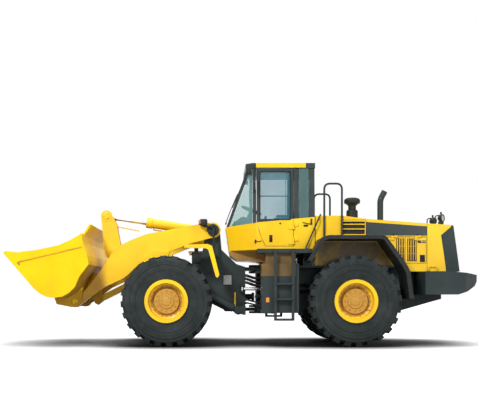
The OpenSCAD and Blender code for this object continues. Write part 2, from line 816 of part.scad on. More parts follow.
module cab_glass() {
  color("#8fc7d8") {
    side_pane(cab_x1 - 40, cab_x1 - 28, 100 - cab_hw, cab_hw - 100);
    side_pane(267, 949, cab_hw - 35, cab_hw - 28);
    both() side_pane(1045, 1230, 28 - cab_hw, 35 - cab_hw);
    pane([cab_x0 + 12, 54 - nose_hw], [cab_x0 + 12, nose_hw - 54], [102, cab_hw - 204], [102, 204 - cab_hw],
      [12, 0, 0]);
    both() pane([182, 30 - cab_hw], [cab_x0 + 62, -nose_hw - 46], [152, 118 - cab_hw],
      [184, 86 - cab_hw], [6, 8, 0]);
  }
}

module mirrors() {
  color("#22262a") both() {
    box([200, -roof_hw - 130, roof_z + 15], [226, -roof_hw, roof_z + 41]);
    cyl_z(213, -roof_hw - 130, 13, roof_z - 200, roof_z + 41);
    box([190, -roof_hw - 240, roof_z - 440], [232, -roof_hw - 75, roof_z - 180]);
  }
}

module cab_door() {
  color("#f5c400") difference() {
    union() {
      xz(door_plan, -cab_hw, -cab_hw + cab_t);
      for (z = cab_hinge_z) {
        cyl_z(cab_hinge_x, cab_hinge_y, 18, z, z + 58);
        box([door_x1 - 90, cab_hinge_y + 9, z], [door_x1 - door_gap, -cab_hw + 10, z + 58]);
      }
    }
    box([325, -cab_hw - 10, window_z[0]], [881, -cab_hw + cab_t + 10, window_z[1]]);
    for (z = cab_hinge_z)
      cyl_z(cab_hinge_x, cab_hinge_y, small_pin_r + run_fit, z - 5, z + 65);
  }
}

module door_glass() {
  color("#8fc7d8") box([325, -cab_hw + 20, window_z[0]], [881, -cab_hw + 28, window_z[1]]);
}

module operator_seat() {
  color("#2a2c30") {
    box([640, -260, cab_z + 60], [1040, 260, 2180]);
    box([560, -260, 2180], [1080, 260, 2330]);
    xz([[960, 2330], [1080, 2330], [1180, roof_z - 330], [1080, roof_z - 330]], -240, 240);
  }
}

module steering_column() {
  color("#2a2c30") {
    box([20, -80, cab_z + 60], [160, 80, 2420]);
    translate([120, 0, 2400]) rotate([0, 22, 0]) {
      cylinder(r = 32, h = 216);
      translate([0, 0, 200]) rotate_extrude() translate([195, 0]) circle(r = 17);
      for (a = [0, 120, 240])
        rotate([0, 0, a]) translate([-15, 0, 194]) cube([30, 195, 12]);
    }
  }
}

rear_frame();
rear_deck();
counterweight();
engine_block();
transmission();
rear_axle();
hood();
rear_grille();
engine_door_left();
engine_door_right();
exhaust_pipe();
air_cleaner();
rear_fenders();
side_tanks();
side_platforms();
ladders();
handrails();
rear_lamps();
cab_base();
cab_pillars();
cab_roof();
cab_glass();
mirrors();
cab_door();
door_glass();
operator_seat();
steering_column();
front_frame();
front_axle();
front_fenders();
head_lamps();
front_drive_shaft();
boom_arms();
boom_cross_tube();
bellcrank();
bucket_link();
bucket();
bucket_edge();
tilt_barrel();
tilt_rod();
lift_barrels();
lift_rods();
steer_barrel_left();
steer_barrel_right();
steer_rod_left();
steer_rod_right();
tyre_front_left();
tyre_front_right();
tyre_rear_left();
tyre_rear_right();
rim_front_left();
rim_front_right();
rim_rear_left();
rim_rear_right();
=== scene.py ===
"""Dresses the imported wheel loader: paint, rubber, glass and small fittings, in metres, in the model's own frame.

The machine faces -X, its left side is -Y and +Z is up.
"""

import math

import bmesh
import bpy
from mathutils import Matrix, Vector


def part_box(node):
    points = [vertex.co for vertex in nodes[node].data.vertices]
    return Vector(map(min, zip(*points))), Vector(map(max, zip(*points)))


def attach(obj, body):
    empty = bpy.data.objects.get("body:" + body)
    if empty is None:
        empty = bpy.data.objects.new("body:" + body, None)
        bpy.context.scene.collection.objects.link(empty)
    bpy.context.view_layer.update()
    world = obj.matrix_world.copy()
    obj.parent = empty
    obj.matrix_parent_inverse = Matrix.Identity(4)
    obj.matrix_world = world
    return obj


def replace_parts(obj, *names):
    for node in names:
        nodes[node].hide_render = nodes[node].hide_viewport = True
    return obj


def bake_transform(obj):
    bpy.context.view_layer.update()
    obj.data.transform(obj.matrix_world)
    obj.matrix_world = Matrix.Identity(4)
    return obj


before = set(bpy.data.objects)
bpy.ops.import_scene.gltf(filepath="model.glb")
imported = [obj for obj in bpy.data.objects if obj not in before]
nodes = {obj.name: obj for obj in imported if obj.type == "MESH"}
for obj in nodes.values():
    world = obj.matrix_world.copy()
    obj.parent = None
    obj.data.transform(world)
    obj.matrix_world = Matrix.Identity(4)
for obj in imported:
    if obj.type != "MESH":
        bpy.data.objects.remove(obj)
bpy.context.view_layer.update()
SIDES = {"left": -1, "right": 1}

# Colours, as they render under plain light
YELLOW = (0.93, 0.60, 0.008)
YELLOW_DEEP = (0.84, 0.49, 0.006)
OCHRE = (0.40, 0.19, 0.012)
# Painted shade: yellow paint as it looks in shade, for the bucket's back, the boom's lower end and the rims' middles
YELLOW_IN_SHADE = (0.52, 0.27, 0.035)
# Painted shade on the hood's sides under the rear fenders
ARCH_SHADE = (0.085, 0.052, 0.018)
# Painted shade on the front of the box between the deck and the tank
DECK_SHADE = (0.17, 0.098, 0.030)
# Painted shade, with some mud, on the pan under the cab
BELLY_SHADE_AND_MUD = (0.30, 0.15, 0.035)
CHARCOAL = (0.020, 0.030, 0.030)
CHARCOAL_PALE = (0.030, 0.042, 0.042)
BLACK = (0.010, 0.011, 0.011)
BLACK_PALE = (0.020, 0.022, 0.022)
RUBBER = (0.016, 0.021, 0.021)
RUBBER_PALE = (0.030, 0.036, 0.036)
DUST = (0.23, 0.18, 0.11)
STEEL = (0.30, 0.30, 0.30)
STEEL_DARK = (0.12, 0.12, 0.12)
IRON = (0.085, 0.09, 0.09)
CLOTH = (0.030, 0.032, 0.038)
CLOTH_PALE = (0.065, 0.068, 0.076)
TEAL = (0.035, 0.250, 0.330)
TEAL_PALE = (0.25, 0.52, 0.53)
TEAL_DARK = (0.040, 0.120, 0.115)
AMBER = (0.85, 0.27, 0.01)
RED = (0.55, 0.012, 0.01)
LENS = (0.72, 0.75, 0.76)


# Materials


class Shader:
    """A Principled material whose colour, roughness and bump come from procedural nodes."""

    def __init__(self, name):
        self.material = bpy.data.materials.new(name)
        self.material.use_nodes = True
        self.tree = self.material.node_tree
        self.bsdf = self.tree.nodes["Principled BSDF"]
        self.place = self.add("ShaderNodeTexCoord").outputs["Object"]

    def add(self, kind, inputs=None, **values):
        """A new node with the given settings, and with its inputs fed."""
        made = self.tree.nodes.new(kind)
        for key, value in values.items():
            setattr(made, key, value)
        for key, value in (inputs or {}).items():
            self.feed(made.inputs[key], value)
        return made

    def feed(self, socket, value):
        if isinstance(value, bpy.types.NodeSocket):
            self.tree.links.new(value, socket)
        elif isinstance(value, tuple) and len(value) == 3 and socket.type == "RGBA":
            socket.default_value = (*value, 1.0)
        else:
            socket.default_value = value

    def put(self, **values):
        for key, value in values.items():
            self.feed(self.bsdf.inputs[key.replace("_", " ")], value)

    def noise(self, scale, detail=4.0, stretch=None):
        where = self.place
        if stretch:
            where = self.add("ShaderNodeMapping", {"Scale": stretch, "Vector": where}).outputs["Vector"]
        return self.add("ShaderNodeTexNoise", {"Scale": scale, "Detail": detail, "Vector": where}).outputs["Fac"]

    def span(self, value, low, high, to_low=0.0, to_high=1.0):
        limits = {"From Min": low, "From Max": high, "To Min": to_low, "To Max": to_high}
        return self.add("ShaderNodeMapRange", {"Value": value, **limits}).outputs["Result"]

    def sums(self, operation, a, b):
        return self.add("ShaderNodeMath", {0: a, 1: b}, operation=operation).outputs[0]

    def mix(self, share, a, b):
        """A colour between a and b."""
        return self.add("ShaderNodeMix", {"Factor": share, 6: a, 7: b}, data_type="RGBA").outputs[2]

    def blend(self, share, a, b):
        """A number between a and b."""
        return self.add("ShaderNodeMix", {"Factor": share, 2: a, 3: b}, data_type="FLOAT").outputs[0]

    def axes(self, source=None):
        return self.add("ShaderNodeSeparateXYZ", {0: source or self.place}).outputs

    def wave(self, direction, **inputs):
        inputs["Vector"] = self.place
        return self.add("ShaderNodeTexWave", inputs, bands_direction=direction).outputs["Fac"]

    def edges(self, radius):
        """Rounded-looking edges, and where they are, from 0 on flats to 1 on edges."""
        bevel = self.add("ShaderNodeBevel", {"Radius": radius}, samples=4).outputs[0]
        flat = self.add("ShaderNodeNewGeometry").outputs["Normal"]
        dot = self.add("ShaderNodeVectorMath", {0: bevel, 1: flat}, operation="DOT_PRODUCT")
        return bevel, self.span(dot.outputs["Value"], 0.98, 0.75)

    def bump(self, height, strength, distance, normal=None):
        made = self.add("ShaderNodeBump", {"Height": height, "Strength": strength, "Distance": distance})
        if normal:
            self.feed(made.inputs["Normal"], normal)
        self.put(Normal=made.outputs[0])


DUST_HEIGHT = (1.7, 0.35)


def paint(name, colour, shade, rough=0.36, dust=0.12, wear=0.2, bare=STEEL_DARK, shine=0.3, areas=()):
    """Enamel with a little fade, road dust that thickens towards the ground, and edges rubbed down to what is bare.

    areas are (mask function, colour) pairs that are painted over the base colour."""
    s = Shader(name)
    base = s.mix(s.span(s.noise(1.7), 0.35, 0.7), colour, shade)
    for mask, tone in areas:
        base = s.mix(mask(s), base, tone)
    height = s.span(s.axes()["Z"], *DUST_HEIGHT)
    film = s.sums("MULTIPLY", s.span(s.noise(5.0, 8.0), 0.42, 0.75), s.span(height, 0.0, 1.0, 0.12, 1.0))
    base = s.mix(s.sums("MULTIPLY", film, dust), base, DUST)
    normal, edge = s.edges(0.008)
    rubbed = s.sums("MULTIPLY", edge, s.span(s.noise(26.0, 6.0), 0.52, 0.62))
    base = s.mix(s.sums("MULTIPLY", rubbed, wear), base, bare)
    s.put(Base_Color=base, Roughness=s.span(s.noise(11.0, 6.0), 0.3, 0.75, rough - 0.07, rough + 0.14))
    s.put(Specular_IOR_Level=shine, Coat_Weight=shine * 0.3, Coat_Roughness=0.12)
    s.bump(s.noise(160.0, 2.0), 0.05, 0.002, normal)
    return s.material


def rubber(name, colour, pale, rough=0.72, grain=90.0, dust=0.3):
    """Matte rubber or moulded plastic with a fine grain and dust in its low places."""
    s = Shader(name)
    base = s.mix(s.span(s.noise(3.2, 6.0), 0.35, 0.7), colour, pale)
    base = s.mix(s.sums("MULTIPLY", s.span(s.noise(9.0, 8.0), 0.5, 0.8), dust), base, DUST)
    normal, _ = s.edges(0.006)
    s.put(Base_Color=base, Roughness=s.span(s.noise(14.0, 5.0), 0.3, 0.7, rough - 0.1, rough + 0.12))
    s.put(Specular_IOR_Level=0.2)
    s.bump(s.noise(grain, 3.0), 0.16, 0.003, normal)
    return s.material


def metal(name, colour, pale, rough, stretch=None, grain=70.0):
    """Bare metal with a brushed or ground grain."""
    s = Shader(name)
    tone = s.noise(grain, 5.0, stretch)
    s.put(Base_Color=s.mix(s.span(tone, 0.3, 0.7), colour, pale), Metallic=1.0)
    s.put(Roughness=s.span(tone, 0.3, 0.7, rough, rough + 0.14))
    s.bump(tone, 0.04, 0.001)
    return s.material


def glazing(name, bands):
    """Tinted panes with faint streaks of dust.

    bands are (where the band starts along X, its tint, how much each face of a pane hides)."""
    s = Shader(name)
    streak = s.noise(2.4, 5.0, (1.0, 1.0, 0.25))
    along = s.axes()["X"]
    _, tint, cover = bands[0]
    for start, next_tint, next_cover in bands[1:]:
        share = over(s, along, start)
        tint = s.mix(share, tint, next_tint)
        cover = s.blend(share, cover, next_cover)
    s.put(Base_Color=s.mix(s.span(streak, 0.35, 0.75, 0.0, 0.08), tint, LENS))
    s.put(Roughness=s.span(streak, 0.3, 0.8, 0.03, 0.12))
    s.put(Alpha=s.sums("ADD", cover, s.span(streak, 0.3, 0.8, -0.05, 0.06)))
    s.put(IOR=1.5, Coat_Weight=0.3, Coat_Roughness=0.03)
    return s.material


def lens(name, colour, rib):
    """Moulded lamp lens with upright ribs."""
    s = Shader(name)
    ribs = s.wave("Y", Scale=rib)
    s.put(Base_Color=s.mix(ribs, colour, tuple(c * 0.6 for c in colour)))
    s.put(Roughness=s.span(s.noise(30.0), 0.3, 0.7, 0.08, 0.2), Coat_Weight=0.5, Coat_Roughness=0.05)
    s.bump(ribs, 0.35, 0.003)
    return s.material


def weave(name, colour, pale):
    """Woven seat cloth."""
    s = Shader(name)
    threads = [s.wave(direction, Scale=160.0, Distortion=0.6) for direction in ("X", "Y")]
    cross = s.sums("MULTIPLY", *threads)
    s.put(Base_Color=s.mix(s.sums("ADD", cross, s.span(s.noise(5.0), 0.4, 0.8, 0.0, 0.4)), colour, pale))
    s.put(Roughness=s.span(s.noise(20.0), 0.3, 0.7, 0.8, 0.95), Sheen_Weight=0.3)
    s.bump(cross, 0.3, 0.002)
    return s.material


def all_of(s, *masks):
    """Where all the masks overlap."""
    product = masks[0]
    for mask in masks[1:]:
        product = s.sums("MULTIPLY", product, mask)
    return product


# Where the painted areas start and end, and how sharply

SOFT_EDGE = 0.002
SILL = ((-0.310, 2.228), (1.340, 2.38475))
SILL_SLOPE = (SILL[1][1] - SILL[0][1]) / (SILL[1][0] - SILL[0][0])
BAND_X = (2.294, 3.437)
BAND_LOW = 2.037
BAND_TOP = (2.362, 2.290)
HOOD_SLOPE = 0.0726
CAB_FLOOR = 1.767
AXLES = ((-1.388, 0.820), (2.012, 0.820))
ROOF_PANEL, ROOF_PANEL_LOW = (0.250, 1.175), 3.306
ARCH_FRONT, ARCH_TOP = (1.30, 1.42), (1.975, 1.90)
ARCH_REAR, ARCH_LEAN = (3.93, 3.85), 0.72
BOX_FRONT, BOX_LOW, BOX_HIGH = 0.940, 1.275, 1.689
BUCKET_INSIDE, BUCKET_BELLY, BUCKET_FADE = 1.435, 1.02, (1.58, 1.46)
FACING_EDGE = 0.05
NOSE_FADE = (-2.52, -2.63)
DISH_RADIUS = 0.285


def over(s, value, level):
    return s.span(value, level - SOFT_EDGE, level + SOFT_EDGE)


def under(s, value, level):
    return s.span(value, level + SOFT_EDGE, level - SOFT_EDGE)


def above_sill(s):
    """The dark upper part of the cab, above a line that climbs towards the rear."""
    at = s.axes()
    level = s.sums("SUBTRACT", at["Z"], s.sums("MULTIPLY", at["X"], SILL_SLOPE))
    return over(s, level, SILL[0][1] - SILL[0][0] * SILL_SLOPE)


def belly(s):
    """The pan under the cab, in painted shade with some mud."""
    at = s.axes()
    return all_of(s, under(s, at["Z"], CAB_FLOOR), s.span(s.noise(2.2, 6.0), 0.25, 0.6, 0.7, 1.0))


def hood_band(s):
    """The dark band along the hood's sides."""
    at = s.axes()
    top = s.sums("ADD", at["Z"], s.sums("MULTIPLY", at["X"], HOOD_SLOPE))
    return all_of(
        s,
        over(s, at["X"], BAND_X[0]),
        under(s, at["X"], BAND_X[1]),
        over(s, at["Z"], BAND_LOW),
        under(s, top, BAND_TOP[1] + BAND_TOP[0] * HOOD_SLOPE),
    )


def arch(s):
    """Painted shade on the hood's sides over the rear wheels, under the rear fenders."""
    at = s.axes()
    return all_of(
        s,
        s.span(at["X"], *ARCH_FRONT),
        s.span(s.sums("ADD", at["X"], s.sums("MULTIPLY", at["Z"], ARCH_LEAN)), *ARCH_REAR),
        s.span(at["Z"], *ARCH_TOP),
        s.span(s.noise(3.5, 6.0), 0.25, 0.5, 0.75, 1.0),
    )


def roof_edge(s):
    """The dark rim under the roof's panel and its dark ends."""
    at = s.axes()
    ends = s.sums("ADD", under(s, at["X"], ROOF_PANEL[0]), over(s, at["X"], ROOF_PANEL[1]))
    return s.sums("MAXIMUM", under(s, at["Z"], ROOF_PANEL_LOW), ends)


def below_deck(s):
    """Painted shade on the front of the box between the deck and the tank."""
    at = s.axes()
    return all_of(
        s,
        over(s, at["Z"], BOX_LOW),
        under(s, at["Z"], BOX_HIGH),
        under(s, at["X"], BOX_FRONT),
        s.span(s.noise(3.0, 6.0), 0.25, 0.55, 0.45, 1.0),
    )


def bucket_back(s):
    """Painted shade on the back and belly of the bucket, between its side plates: on faces turned back or down and on
    its low part.
    """
    at = s.axes()
    facing = s.axes(s.add("ShaderNodeTexCoord").outputs["Normal"])
    turned = s.sums("MAXIMUM", over(s, facing["X"], FACING_EDGE), under(s, facing["Z"], -FACING_EDGE))
    turned = s.sums("MAXIMUM", turned, under(s, at["Z"], BUCKET_BELLY))
    inboard = under(s, s.sums("ABSOLUTE", at["Y"], 0.0), BUCKET_INSIDE)
    return all_of(s, turned, inboard, s.span(at["Z"], *BUCKET_FADE), s.span(s.noise(2.6, 6.0), 0.25, 0.6, 0.6, 1.0))


def boom_nose(s):
    """Painted shadow of the bucket on the lower end of the boom, behind the bucket."""
    return all_of(s, s.span(s.axes()["X"], *NOSE_FADE), s.span(s.noise(2.6, 6.0), 0.25, 0.6, 0.5, 0.85))


def dish(s):
    """Painted shade in the deep middle of a rim, around either axle."""
    at = s.axes()
    reach = []
    for axle in AXLES:
        along, up = s.sums("SUBTRACT", at["X"], axle[0]), s.sums("SUBTRACT", at["Z"], axle[1])
        reach.append(s.sums("SQRT", s.sums("ADD", s.sums("MULTIPLY", along, along), s.sums("MULTIPLY", up, up)), 0.0))
    return under(s, s.sums("MINIMUM", *reach), DISH_RADIUS)


SCUFFED = {"rough": 0.46, "wear": 0.4, "dust": 0.10, "bare": OCHRE, "shine": 0.06}
SATIN = {"rough": 0.45, "wear": 0.3, "dust": 0.05, "shine": 0.15}
GLASS_BANDS = ((-9.0, TEAL_PALE, 0.25), (0.22, TEAL, 0.28), (0.93, TEAL_DARK, 0.80))
MAT = {
    "yellow": paint("yellow_enamel", YELLOW, YELLOW_DEEP),
    "cab": paint("cab_enamel", YELLOW, YELLOW_DEEP, dust=0.08, areas=((above_sill, CHARCOAL), (belly, BELLY_SHADE_AND_MUD))),
    "hood": paint("hood_enamel", YELLOW, YELLOW_DEEP, dust=0.08, areas=((hood_band, CHARCOAL), (arch, ARCH_SHADE))),
    "roof": paint("roof_enamel", YELLOW, YELLOW_DEEP, dust=0.05, areas=((roof_edge, CHARCOAL),)),
    "rim": paint("rim_enamel", YELLOW, YELLOW_DEEP, dust=0.12, wear=0.15, areas=((dish, YELLOW_IN_SHADE),)),
    "boom": paint("boom_enamel", YELLOW, YELLOW_DEEP, areas=((boom_nose, YELLOW_IN_SHADE),)),
    "bucket": paint("bucket_enamel", YELLOW, YELLOW_DEEP, **SCUFFED, areas=((bucket_back, YELLOW_IN_SHADE),)),
    "ochre": paint("shaded_enamel", OCHRE, YELLOW_DEEP, dust=0.3),
    "charcoal": paint("charcoal_enamel", CHARCOAL, CHARCOAL_PALE, **SATIN),
    "deck": paint("deck_enamel", CHARCOAL, CHARCOAL_PALE, **SATIN, areas=((below_deck, DECK_SHADE),)),
    "black": rubber("black_moulding", BLACK, BLACK_PALE, rough=0.5, grain=220.0, dust=0.04),
    "tyre": rubber("tyre_rubber", RUBBER, RUBBER_PALE, rough=0.78, grain=60.0, dust=0.06),
    "rod": metal("polished_rod", (0.62, 0.62, 0.63), (0.74, 0.74, 0.75), 0.10, (1.0, 30.0, 30.0)),
    "steel": metal("worn_steel", STEEL_DARK, STEEL, 0.34, None, 45.0),
    "bolt": metal("zinc_bolts", (0.35, 0.34, 0.30), (0.52, 0.51, 0.47), 0.30, None, 120.0),
    "iron": metal("cast_iron", IRON, (0.14, 0.145, 0.145), 0.55, None, 60.0),
    "glass": glazing("tinted_glass", GLASS_BANDS),
    "cloth": weave("seat_weave", CLOTH, CLOTH_PALE),
    "clear": lens("clear_lens", LENS, 40.0),
    "amber": lens("amber_lens", AMBER, 60.0),
    "red": lens("red_lens", RED, 60.0),
}

NODE_MATERIAL = {
    "yellow": "engine_door_left engine_door_right front_fenders boom_cross_tube bellcrank bucket_link tilt_barrel",
    "cab": "cab_base cab_door cab_pillars",
    "hood": "hood",
    "roof": "cab_roof",
    "rim": "rim_front_left rim_front_right rim_rear_left rim_rear_right",
    "boom": "boom_arms",
    "bucket": "bucket",
    "charcoal": "rear_frame counterweight rear_axle rear_grille ladders front_frame front_axle front_drive_shaft"
    " transmission rear_deck exhaust_pipe handrails lift_barrels steer_barrel_left steer_barrel_right",
    "deck": "side_tanks side_platforms",
    "black": "rear_fenders air_cleaner steering_column rear_lamps head_lamps mirrors",
    "tyre": "tyre_front_left tyre_front_right tyre_rear_left tyre_rear_right",
    "rod": "tilt_rod lift_rods steer_rod_left steer_rod_right",
    "steel": "bucket_edge",
    "iron": "engine_block",
    "glass": "cab_glass door_glass",
    "cloth": "operator_seat",
}
for key, names in NODE_MATERIAL.items():
    for name in names.split():
        mesh = nodes[name].data
        mesh.materials.clear()
        mesh.materials.append(MAT[key])
        for face in mesh.polygons:
            face.material_index = 0


# Shapes

TAU = 2 * math.pi
UP, FORWARD, BACK = (0, 0, 1), (-1, 0, 0), (1, 0, 0)
# Turned shapes close on their axis with a hole of this radius
AXIS = 0.0005
# Layers of a bolt, in head radii: start, thickness, lower radius, upper radius, sides
BOLT_LAYERS = ((0.0, 0.22, 1.55, 1.5, 16), (0.22, 0.55, 1.1, 1.1, 6), (0.77, 0.12, 1.1, 0.85, 6))


def aim(centre, axis):
    """Stands a shape made along +Z at centre, along axis."""
    return Matrix.Translation(centre) @ Vector(axis).to_track_quat("Z", "Y").to_matrix().to_4x4()


def around(count, start=0.0):
    """Cosine and sine at even steps around a circle."""
    turns = [start + TAU * k / count for k in range(count)]
    return [(math.cos(turn), math.sin(turn)) for turn in turns]


def bead(ring, wide, tall, height=0.0, steps=8):
    """The profile of a ring with an oval section."""
    return [(ring + wide * c, height + tall * s) for c, s in around(steps)]


def skin(bm, rings):
    """Joins each ring of points to the next."""
    count = len(rings[0])
    for a, b in zip(rings, rings[1:]):
        for k in range(count):
            bm.faces.new((a[k], a[(k + 1) % count], b[(k + 1) % count], b[k]))


def capped(bm, rings):
    """Joins rings of points and closes both ends."""
    skin(bm, rings)
    bm.faces.new(rings[0])
    bm.faces.new(rings[-1])


def prism(bm, outline, low, high, plane="xz"):
    """A flat outline in the XZ or YZ plane, carried from low to high across it."""
    def at(point, depth):
        return (depth, *point) if plane == "yz" else (point[0], depth, point[1])

    capped(bm, [[bm.verts.new(at(point, depth)) for point in outline] for depth in (low, high)])


def rectangle(x0, z0, x1, z1):
    return ((x0, z0), (x1, z0), (x1, z1), (x0, z1))


def box(bm, place, radius, segments, profile):
    """A unit cube put in place, with its edges bevelled."""
    made = bmesh.ops.create_cube(bm, size=1.0, matrix=place)
    edges = list(dict.fromkeys(e for v in made["verts"] for e in v.link_edges))
    bmesh.ops.bevel(bm, geom=edges, offset=radius, segments=segments, profile=profile, affect="EDGES")


def block(bm, low, high, radius):
    """A box with rounded edges."""
    low, high = Vector(low), Vector(high)
    size = high - low
    place = Matrix.Translation((low + high) / 2) @ Matrix.Diagonal((*size, 1.0))
    box(bm, place, min(radius, min(size) * 0.45), 3, 0.5)


def spread(side, near, far):
    """The Y limits, in order, of what lies from near to far out on one side."""
    return sorted((side * near, side * far))


def side_block(bm, side, x, out, z, radius):
    """A rounded box on one side of the machine, from its limits along X, outwards and along Z."""
    y = spread(side, *out)
    block(bm, (x[0], y[0], z[0]), (x[1], y[1], z[1]), radius)


def side_plate(bm, outline, side, face, thick):
    """A plate lying on an upright side face of the machine, face away from its middle plane."""
    prism(bm, outline, *spread(side, face, face + thick))


def strip(bm, start, end, wide, side, face, thick):
    """A straight strip between two points of a side face."""
    start, end = Vector(start), Vector(end)
    across = (end - start).normalized().orthogonal() * wide / 2
    side_plate(bm, (start + across, end + across, end - across, start - across), side, face, thick)


def lathe(bm, profile, centre, axis, steps=48):
    """Turns (radius, height) points about an axis."""
    place = aim(centre, axis)
    rings = [
        [bm.verts.new(place @ Vector((radius * c, radius * s, height))) for c, s in around(steps)]
        for radius, height in profile
    ]
    skin(bm, rings + rings[:1])


def rounded(points, radius, steps=5):
    """The points of a route with its corners rounded."""
    points = [Vector(p) for p in points]
    route = [points[0]]
    for before, here, after in zip(points, points[1:], points[2:]):
        back, on = before - here, after - here
        reach = min(radius, back.length * 0.45, on.length * 0.45)
        start, end = here + back.normalized() * reach, here + on.normalized() * reach
        for k in range(steps + 1):
            t = k / steps
            route.append(start * (1 - t) ** 2 + here * 2 * t * (1 - t) + end * t**2)
    return route + [points[-1]]


def tube(bm, points, radius, steps=10):
    """A round bar along a route."""
    rings = []
    side = None
    for i, here in enumerate(points):
        along = (points[min(i + 1, len(points) - 1)] - points[max(i - 1, 0)]).normalized()
        if side is None:
            side = along.orthogonal().normalized()
        side = (side - along * side.dot(along)).normalized()
        up = along.cross(side)
        rings.append([bm.verts.new(here + (side * c + up * s) * radius) for c, s in around(steps)])
    capped(bm, rings)


def cone(bm, place, low, high, depth, steps):
    """A cone along the place's Z, about its middle, with flat ends."""
    bmesh.ops.create_cone(bm, cap_ends=True, segments=steps, radius1=low, radius2=high, depth=depth, matrix=place)


def bolt(bm, centre, axis, radius):
    """A hexagon head on its washer, with a chamfered top."""
    centre, axis = Vector(centre), Vector(axis).normalized()
    for start, thick, low, high, steps in BOLT_LAYERS:
        middle = centre + axis * radius * (start + thick / 2)
        cone(bm, aim(middle, axis), radius * low, radius * high, radius * thick, steps)


def show(name, data):
    """A new object in the scene."""
    made = bpy.data.objects.new(name, data)
    bpy.context.scene.collection.objects.link(made)
    return made


def show_shape(name, bm, material):
    mesh = bpy.data.meshes.new(name)
    bm.to_mesh(mesh)
    bm.free()
    mesh.materials.append(material)
    return show(name, mesh)


def piece(name, bm, look, body, smooth=30.0):
    """Turns a shape into an object that rides on a body, if one is named."""
    bmesh.ops.recalc_face_normals(bm, faces=bm.faces)
    made = show_shape(name, bm, MAT[look])
    for face in made.data.polygons:
        face.use_smooth = True
    made.data.set_sharp_from_angle(angle=math.radians(smooth))
    if body:
        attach(made, body)
    return made


# Wheels

# Rings of nuts: how many, ring radius, distance out from the rim's middle, head radius
NUT_RINGS = ((20, 0.278, 0.114, 0.017), (12, 0.183, 0.159, 0.012))
HUB_PLUG = ((AXIS, 0.205), (0.060, 0.203), (0.082, 0.196), (0.088, 0.184), (AXIS, 0.184))
PLUG_LUG_RING, PLUG_LUG_OUT, PLUG_LUG_TURN = 0.106, 0.186, 0.6
# Ribs of a tyre's side: ring radius, distance out, half width
SIDEWALL_RIBS = ((0.405, 0.272, 0.012), (0.560, 0.303, 0.010), (0.665, 0.310, 0.014))
RIB_HEIGHT = 0.008
STEM_OUT, STEM_SPOT, STEM_BEND = 0.13, Vector((0.255, 0, -0.16)), Vector((0.03, 0, -0.02))

for wheel in ("front_left", "front_right", "rear_left", "rear_right"):
    low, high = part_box("rim_" + wheel)
    hub = (low + high) / 2
    out = Vector((0, -1 if hub.y < 0 else 1, 0))
    body = "wheel_" + wheel
    bm = bmesh.new()
    for count, ring, face, size in NUT_RINGS:
        for c, s in around(count):
            bolt(bm, hub + out * face + Vector((c, 0, s)) * ring, out, size)
    piece("rim_nuts_" + wheel, bm, "rim", body)
    bm = bmesh.new()
    lathe(bm, HUB_PLUG, hub, out, 32)
    for c, s in around(2, PLUG_LUG_TURN):
        spot = hub + out * PLUG_LUG_OUT + Vector((c, 0, s)) * PLUG_LUG_RING
        cone(bm, aim(spot, out), 0.013, 0.011, 0.018, 6)
    piece("hub_plug_" + wheel, bm, "rim", body)
    bm = bmesh.new()
    for ring, height, wide in SIDEWALL_RIBS:
        lathe(bm, bead(ring, wide, RIB_HEIGHT, height), hub, out, 64)
    piece("sidewall_ribs_" + wheel, bm, "tyre", body)
    bm = bmesh.new()
    stem = hub + out * STEM_OUT + STEM_SPOT
    tube(bm, rounded((stem, stem + out * 0.05, stem + out * 0.075 + STEM_BEND), 0.02), 0.006)
    piece("valve_stem_" + wheel, bm, "steel", body)


# Hood and engine doors

HOOD_SIDE = 0.760
PANEL = 0.003
LOUVRE_BACK, LOUVRE_BACK_SIDE = rectangle(1.862, 2.058, 2.288, 2.308), 0.712
HOOD_SEAMS = (
    ((3.437, 1.500), (3.437, 2.255)),
    ((2.300, 2.000), (2.300, 2.340)),
    ((1.862, 2.330), (2.300, 2.330)),
    ((3.437, 1.370), (3.437, 1.500)),
)
HANDLE_X, HANDLE_Z, HANDLE_REACH = (3.455, 3.615), (1.392, 1.462), 0.045
DOOR_CORNER, DOOR_LEAN = (2.944, 1.528), (2.944 - 2.641) / (2.008 - 1.528)
GRILLES = ((2.862, 3.032), (3.068, 3.246))
GRILLE_LOW, GRILLE_HIGH, GRILLE_PITCH, GRILLE_BAR = 1.560, 1.985, 0.040, 0.019
CROSS_BARS, CROSS_BAR_START = (1.70, 1.84), 2.87
LATCH_PLATE, VENT_PLATE = rectangle(3.262, 1.902, 3.408, 1.948), rectangle(3.303, 1.545, 3.397, 1.680)
VENT_SLATS, VENT_PITCH = 4, 0.029
LATCH_BUTTON = ((AXIS, 0.012), (0.016, 0.011), (0.022, 0.006), (0.024, 0.0), (AXIS, 0.0))


def lean_low(x):
    """The lowest grille height that the slanted front edge of an engine door leaves at x."""
    return max(GRILLE_LOW, DOOR_CORNER[1] + (DOOR_CORNER[0] - x) / DOOR_LEAN + 0.05)


